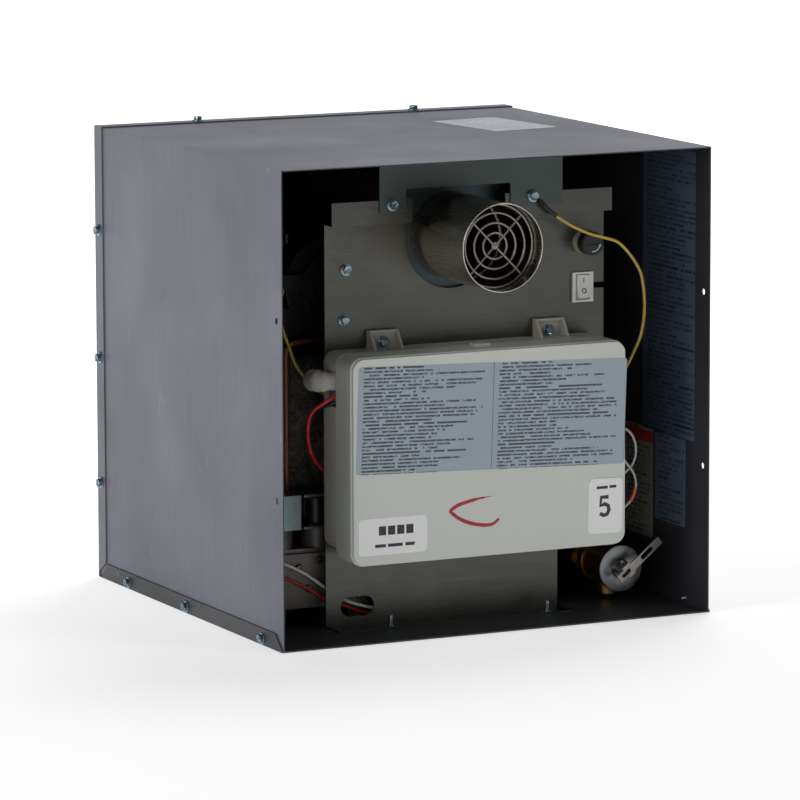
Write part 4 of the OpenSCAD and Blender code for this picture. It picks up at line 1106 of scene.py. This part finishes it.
engineSettings = [
    # node, edge in mm, finish
    ("exchanger_shell", 0.2, "copper"),
    ("exchanger_fins", 0, "copper"),
    ("exchanger_coil", 0, "copper"),
    ("combustion_chamber", 0.2, "copper"),
    ("burner_tray", 0.2, "inner"),
    ("burner_bars", 0.3, "inner"),
    ("gas_manifold", 0.6, "cast"),
    ("electrodes", 0.2, "ceramic"),
    ("gas_valve_body", 1.2, "cast"),
    ("gas_valve_cover", 0.5, "cast"),
    ("solenoid_yokes", 0.3, "yoke"),
    ("solenoid_coils", 0.4, "black"),
    ("safety_plunger", 0.3, "steel"),
    ("main_plunger", 0.3, "steel"),
    ("gas_pipe", 0, "inner"),
    ("gas_inlet_fitting", 0.3, "brass"),
    ("pressure_tube", 0, "copper"),
    ("blower_housing", 0.5, "black"),
    ("blower_motor", 0.4, "black"),
    ("blower_wheel", 0.1, "black"),
    ("air_duct", 0.3, "inner"),
    ("limit_switch", 0.3, "black"),
    ("reset_button", 0.3, "red"),
    ("relief_valve_body", 0.4, "brass"),
    ("relief_stem", 0.2, "steel"),
    ("lever_pin", 0.1, "steel"),
    ("relief_lever", 0.3, "lever"),
    ("hot_pipe", 0, "copper"),
    ("hot_outlet_fitting", 0.3, "brass"),
    ("cold_pipe", 0, "copper"),
    ("flow_sensor_body", 0.4, "black"),
    ("flow_turbine", 0.1, "white"),
    ("cold_inlet_fitting", 0.3, "brass"),
    ("thermistor", 0.3, "black"),
    ("fuse_holder", 0.3, "fuse"),
    ("fuse_cap", 0.4, "black"),
    ("switch_body", 0.4, "white"),
    ("rocker", 0.3, "white"),
]

makeRows(engineSettings)
print("engine ready")


# insulation wrap

blanketSettings = {
    "voxel": 3.4, "lumpSize": 26, "lump": 6.0, "fuzzSize": 5, "fuzz": 2.2,
    "strands": 420, "strandLong": (7, 17), "strandBend": 70,
    # a strand's radii are shares of its length
    "strandWide": (0.012, 0.004),
    # strands stand only where the wrap is seen: left of x, in front of y, between two heights
    "seenLeft": -45, "seenFront": -47, "seenHigh": (62, 176),
    # swellings of the wrap: place and half sizes
    "swell": [((-104, -49, 112), (11, 9, 54)), ((-92, -51, 80), (16, 7, 24)), ((-98, -49, 150), (14, 8, 20)),
              ((-70, -50, 108), (26, 5, 44))],
}


def makeBlanket(s):
    wrap = newObject("wrap", cad["insulation_blanket"].data.copy())
    parts = [wrap]
    for place, size in s["swell"]:
        swell = added(shapes.primitive_uv_sphere_add, segments=24, ring_count=16, radius=1,
                      location=Vector(place) * mm)
        swell.scale = Vector(size) * mm
        applyPlace(swell)
        parts.append(swell)
    wrap = joinAll(parts)
    applyPlace(wrap)
    addModifier(wrap, "REMESH", mode="VOXEL", voxel_size=s["voxel"] * mm)
    for label, size, strength in (("lumps", s["lumpSize"], s["lump"]), ("fuzz", s["fuzzSize"], s["fuzz"])):
        texture = bpy.data.textures.new(label, "CLOUDS")
        texture.noise_scale = size * mm
        addModifier(wrap, "DISPLACE", texture=texture, strength=strength * mm, mid_level=0.5,
                    texture_coords="LOCAL")
    # loose strands standing out of the part that can be seen
    strand = added(shapes.primitive_cone_add, vertices=4, radius1=s["strandWide"][0],
                   radius2=s["strandWide"][1], depth=1, location=(0, 0, 0.5))
    applyPlace(strand)
    editMode(strand, "EDGE")
    bpy.ops.mesh.select_all(action="SELECT")
    bpy.ops.mesh.subdivide(number_cuts=3)
    objectMode()
    addModifier(strand, "SIMPLE_DEFORM", deform_method="BEND", deform_axis="X",
                angle=math.radians(s["strandBend"]))
    lowest, highest = s["seenHigh"]
    front = [v.co.copy() for v in wrap.data.vertices
             if v.co.y < s["seenFront"] * mm and v.co.x < s["seenLeft"] * mm
             and lowest * mm < v.co.z < highest * mm]
    strands = []
    for _ in range(s["strands"]):
        hair = newObject("hair", strand.data)
        at = random.choice(front)
        lean = Vector((random.uniform(-1, 1), random.uniform(-0.5, 0.1), random.uniform(-1, 1)))
        turn = Vector((0, 0, 1)).rotation_difference(lean.normalized()).to_matrix().to_4x4()
        long = random.uniform(*s["strandLong"]) * mm
        hair.matrix_world = (Matrix.Translation(at) @ turn @ Matrix.Rotation(random.uniform(0, 6.28), 4, "Z")
                             @ Matrix.Diagonal((long, long, long, 1)))
        strands.append(hair)
    bpy.data.objects.remove(strand)
    hairs = joinStrands(strands)
    finishPiece(hairs, "insulationStrands", "root", finishes["strand"],
                ("insulation_blanket",), 60)
    finishPiece(wrap, "insulationBlanket", "root", finishes["fibre"], ("insulation_blanket",),
                60)


def joinStrands(strands):
    deselectAll()
    for strand in strands:
        strand.select_set(True)
    bpy.context.view_layer.objects.active = strands[0]
    bpy.ops.object.make_single_user(object=True, obdata=True)
    bpy.ops.object.transform_apply(location=True, rotation=True, scale=True)
    bpy.ops.object.join()
    return bpy.context.object


makeBlanket(blanketSettings)


# relief valve cap

capSettings = {"recess": 6.4, "deep": 1.4, "lip": 0.3, "bore": 3.06, "round": 0.5}


def makeCap(s):
    low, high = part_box("relief_cap")
    centre = (low + high) / 2
    radius = (high.z - low.z) / 2
    cap = added(shapes.primitive_cylinder_add, vertices=72, radius=radius, depth=high.y - low.y,
                location=centre, rotation=(math.radians(90), 0, 0))
    applyPlace(cap)
    editMode(cap, "FACE")
    pickFaces(cap, lambda place, normal: normal.y < -0.9)
    bpy.ops.mesh.inset(thickness=radius - s["recess"] * mm, depth=0)
    bpy.ops.mesh.inset(thickness=s["lip"] * mm, depth=-s["deep"] * mm)
    bpy.ops.mesh.inset(thickness=(s["recess"] - s["lip"] - s["bore"]) * mm, depth=0)
    pickFaces(cap, lambda place, normal: normal.y > 0.9)
    bpy.ops.mesh.inset(thickness=radius - s["bore"] * mm, depth=0)
    # the stem's bore, between the two middle faces
    pickFaces(cap, lambda place, normal: abs(normal.y) > 0.9
              and math.hypot(place.x - centre.x, place.z - centre.z) < mm)
    bpy.ops.mesh.bridge_edge_loops()
    objectMode()
    bevel(cap, s["round"], 4, 60)
    finishPiece(cap, "reliefCap", "root", finishes["chrome"], ("relief_cap",), 30)


makeCap(capSettings)


# knitted sleeve round the leads, earth terminal and shrink tubes

sleeveSettings = {
    "route": [(-100, -107, 172), (-107, -107, 172), (-111, -100, 172), (-108, -90, 171), (-99, -85, 170),
              (-84, -84, 168)],
    "wide": [5.6, 6.4, 6.3, 5.9, 5.5, 5.2], "level": 171.5, "tall": 1.12}
shrinkSettings = {
    "earthShrink": (cords["groundLead"]["route"][:3], [1.7, 1.5, 1.3], "black", "ground_wire"),
    "probeShrink": ([(134, -100, 81), (132.8, -99.3, 76), (131, -98, 71)], [1.25, 1.35, 1.25], "orangeWire",
                    "sensor_wires"),
}
terminalSettings = {"ring": 3.2, "bar": 1.1, "flat": 0.45}


def makeSleeve(s):
    line = spread(s["route"], 8)
    wide = [s["wide"][min(i // 8, 5)] * (1 + 0.05 * math.sin(i * 1.1)) for i in range(len(line))]
    sleeve = tubeAlong(line, wide, 12)
    flatten(sleeve, 2, s["tall"], s["level"] * mm)
    finishPiece(sleeve, "harnessSleeve", "root", finishes["knit"], ("harness_sleeve",), 60)


def makeShrinks(rows):
    for name, (route, radii, finish, node) in rows.items():
        points = spread(route, 4)
        step = [radii[min(i // 4, len(radii) - 1)] for i in range(len(points))]
        finishPiece(tubeAlong(points, step), name, "root", finishes[finish], (node,), 40)


def makeTerminal(s):
    ring = min(islands("ground_wire"), key=lambda box: box[1].y - box[0].y)
    centre = (ring[0] + ring[1]) / 2
    terminal = added(shapes.primitive_torus_add, major_radius=s["ring"] * mm, minor_radius=s["bar"] * mm,
                     major_segments=48, minor_segments=12, location=centre, rotation=(math.radians(90), 0, 0))
    terminal.scale = (1, 1, s["flat"])
    applyPlace(terminal)
    finishPiece(terminal, "earthTerminal", "root", finishes["zinc"], ("ground_wire",),
                40)


makeSleeve(sleeveSettings)
makeShrinks(shrinkSettings)
makeTerminal(terminalSettings)


# marks on the switch and the fuse cap

switchSettings = {"pivot": (94, -94, 222.75), "tilt": -7, "on": 4.4, "off": -3.0, "faceY": -4.2,
                  "slope": 1 / 8, "stroke": (0.75, 0.12, 3.6), "ring": 1.5, "bar": 0.36, "flat": 0.18}
fuseMarkSettings = {"radius": 5.4, "from": -100, "step": 7, "widths": [0.4] * 12 + [1.0, 0.6, 0.1]}


def makeSwitchMarks(s):
    turn = Matrix.Translation(Vector(s["pivot"]) * mm) @ Matrix.Rotation(math.radians(s["tilt"]), 4, "X")
    lean = math.atan(s["slope"])
    stroke = block(s["stroke"])
    addModifier(stroke, "BEVEL", width=0.05 * mm, segments=2)
    stroke.matrix_world = turn @ Matrix.Translation(
        Vector((0, s["faceY"] - s["on"] * s["slope"], s["on"])) * mm) @ Matrix.Rotation(lean, 4, "X")
    applyPlace(stroke)
    ring = added(shapes.primitive_torus_add, major_radius=s["ring"] * mm, minor_radius=s["bar"] * mm,
                 major_segments=40, minor_segments=10)
    ring.scale = (1, 1, s["flat"])
    applyPlace(ring)
    ring.matrix_world = turn @ Matrix.Translation(
        Vector((0, s["faceY"] + s["off"] * s["slope"], s["off"])) * mm
    ) @ Matrix.Rotation(math.radians(90) - lean, 4, "X")
    applyPlace(ring)
    finishPiece(joinAll([stroke, ring]), "switchMarks", "rocker", finishes["markInk"], (),
                30)


def makeFuseMark(s):
    low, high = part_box("fuse_cap")
    centre = (low + high) / 2
    face = low.y / mm
    arc = []
    for k in range(len(s["widths"])):
        angle = math.radians(s["from"] + s["step"] * k)
        arc.append((centre.x / mm + s["radius"] * math.cos(angle), face,
                    centre.z / mm + s["radius"] * math.sin(angle)))
    band = tubeAlong(arc, s["widths"])
    flatten(band, 1, 0.1, face * mm)
    finishPiece(band, "fuseMark", "fuse_cap", finishes["paleInk"])


makeSwitchMarks(switchSettings)
makeFuseMark(fuseMarkSettings)
print("trim ready")


# floor

floorSettings = {"size": 24.0, "tone": (0.88, 0.88, 0.88), "near": 0.5, "far": 1.1, "below": 0.5,
                 "from": -0.2, "to": 1.2}


def makeFloor(settings):
    floor = added(shapes.primitive_plane_add, size=settings["size"], location=(0, 0, -settings["below"] * mm))
    floor.name = "studioFloor"
    paper = Finish("studioPaper", Roughness=0.95, Emission_Color=(1, 1, 1, 1))
    paper.color(settings["tone"])
    # brighter with the distance behind the heater
    split = paper.split(paper.where)
    glow = paper.remap(split[1], *(settings[label] for label in ("from", "to", "near", "far")))
    paper.wire(glow, paper.shader.inputs["Emission Strength"])
    floor.data.materials.append(paper.material)


makeFloor(floorSettings)
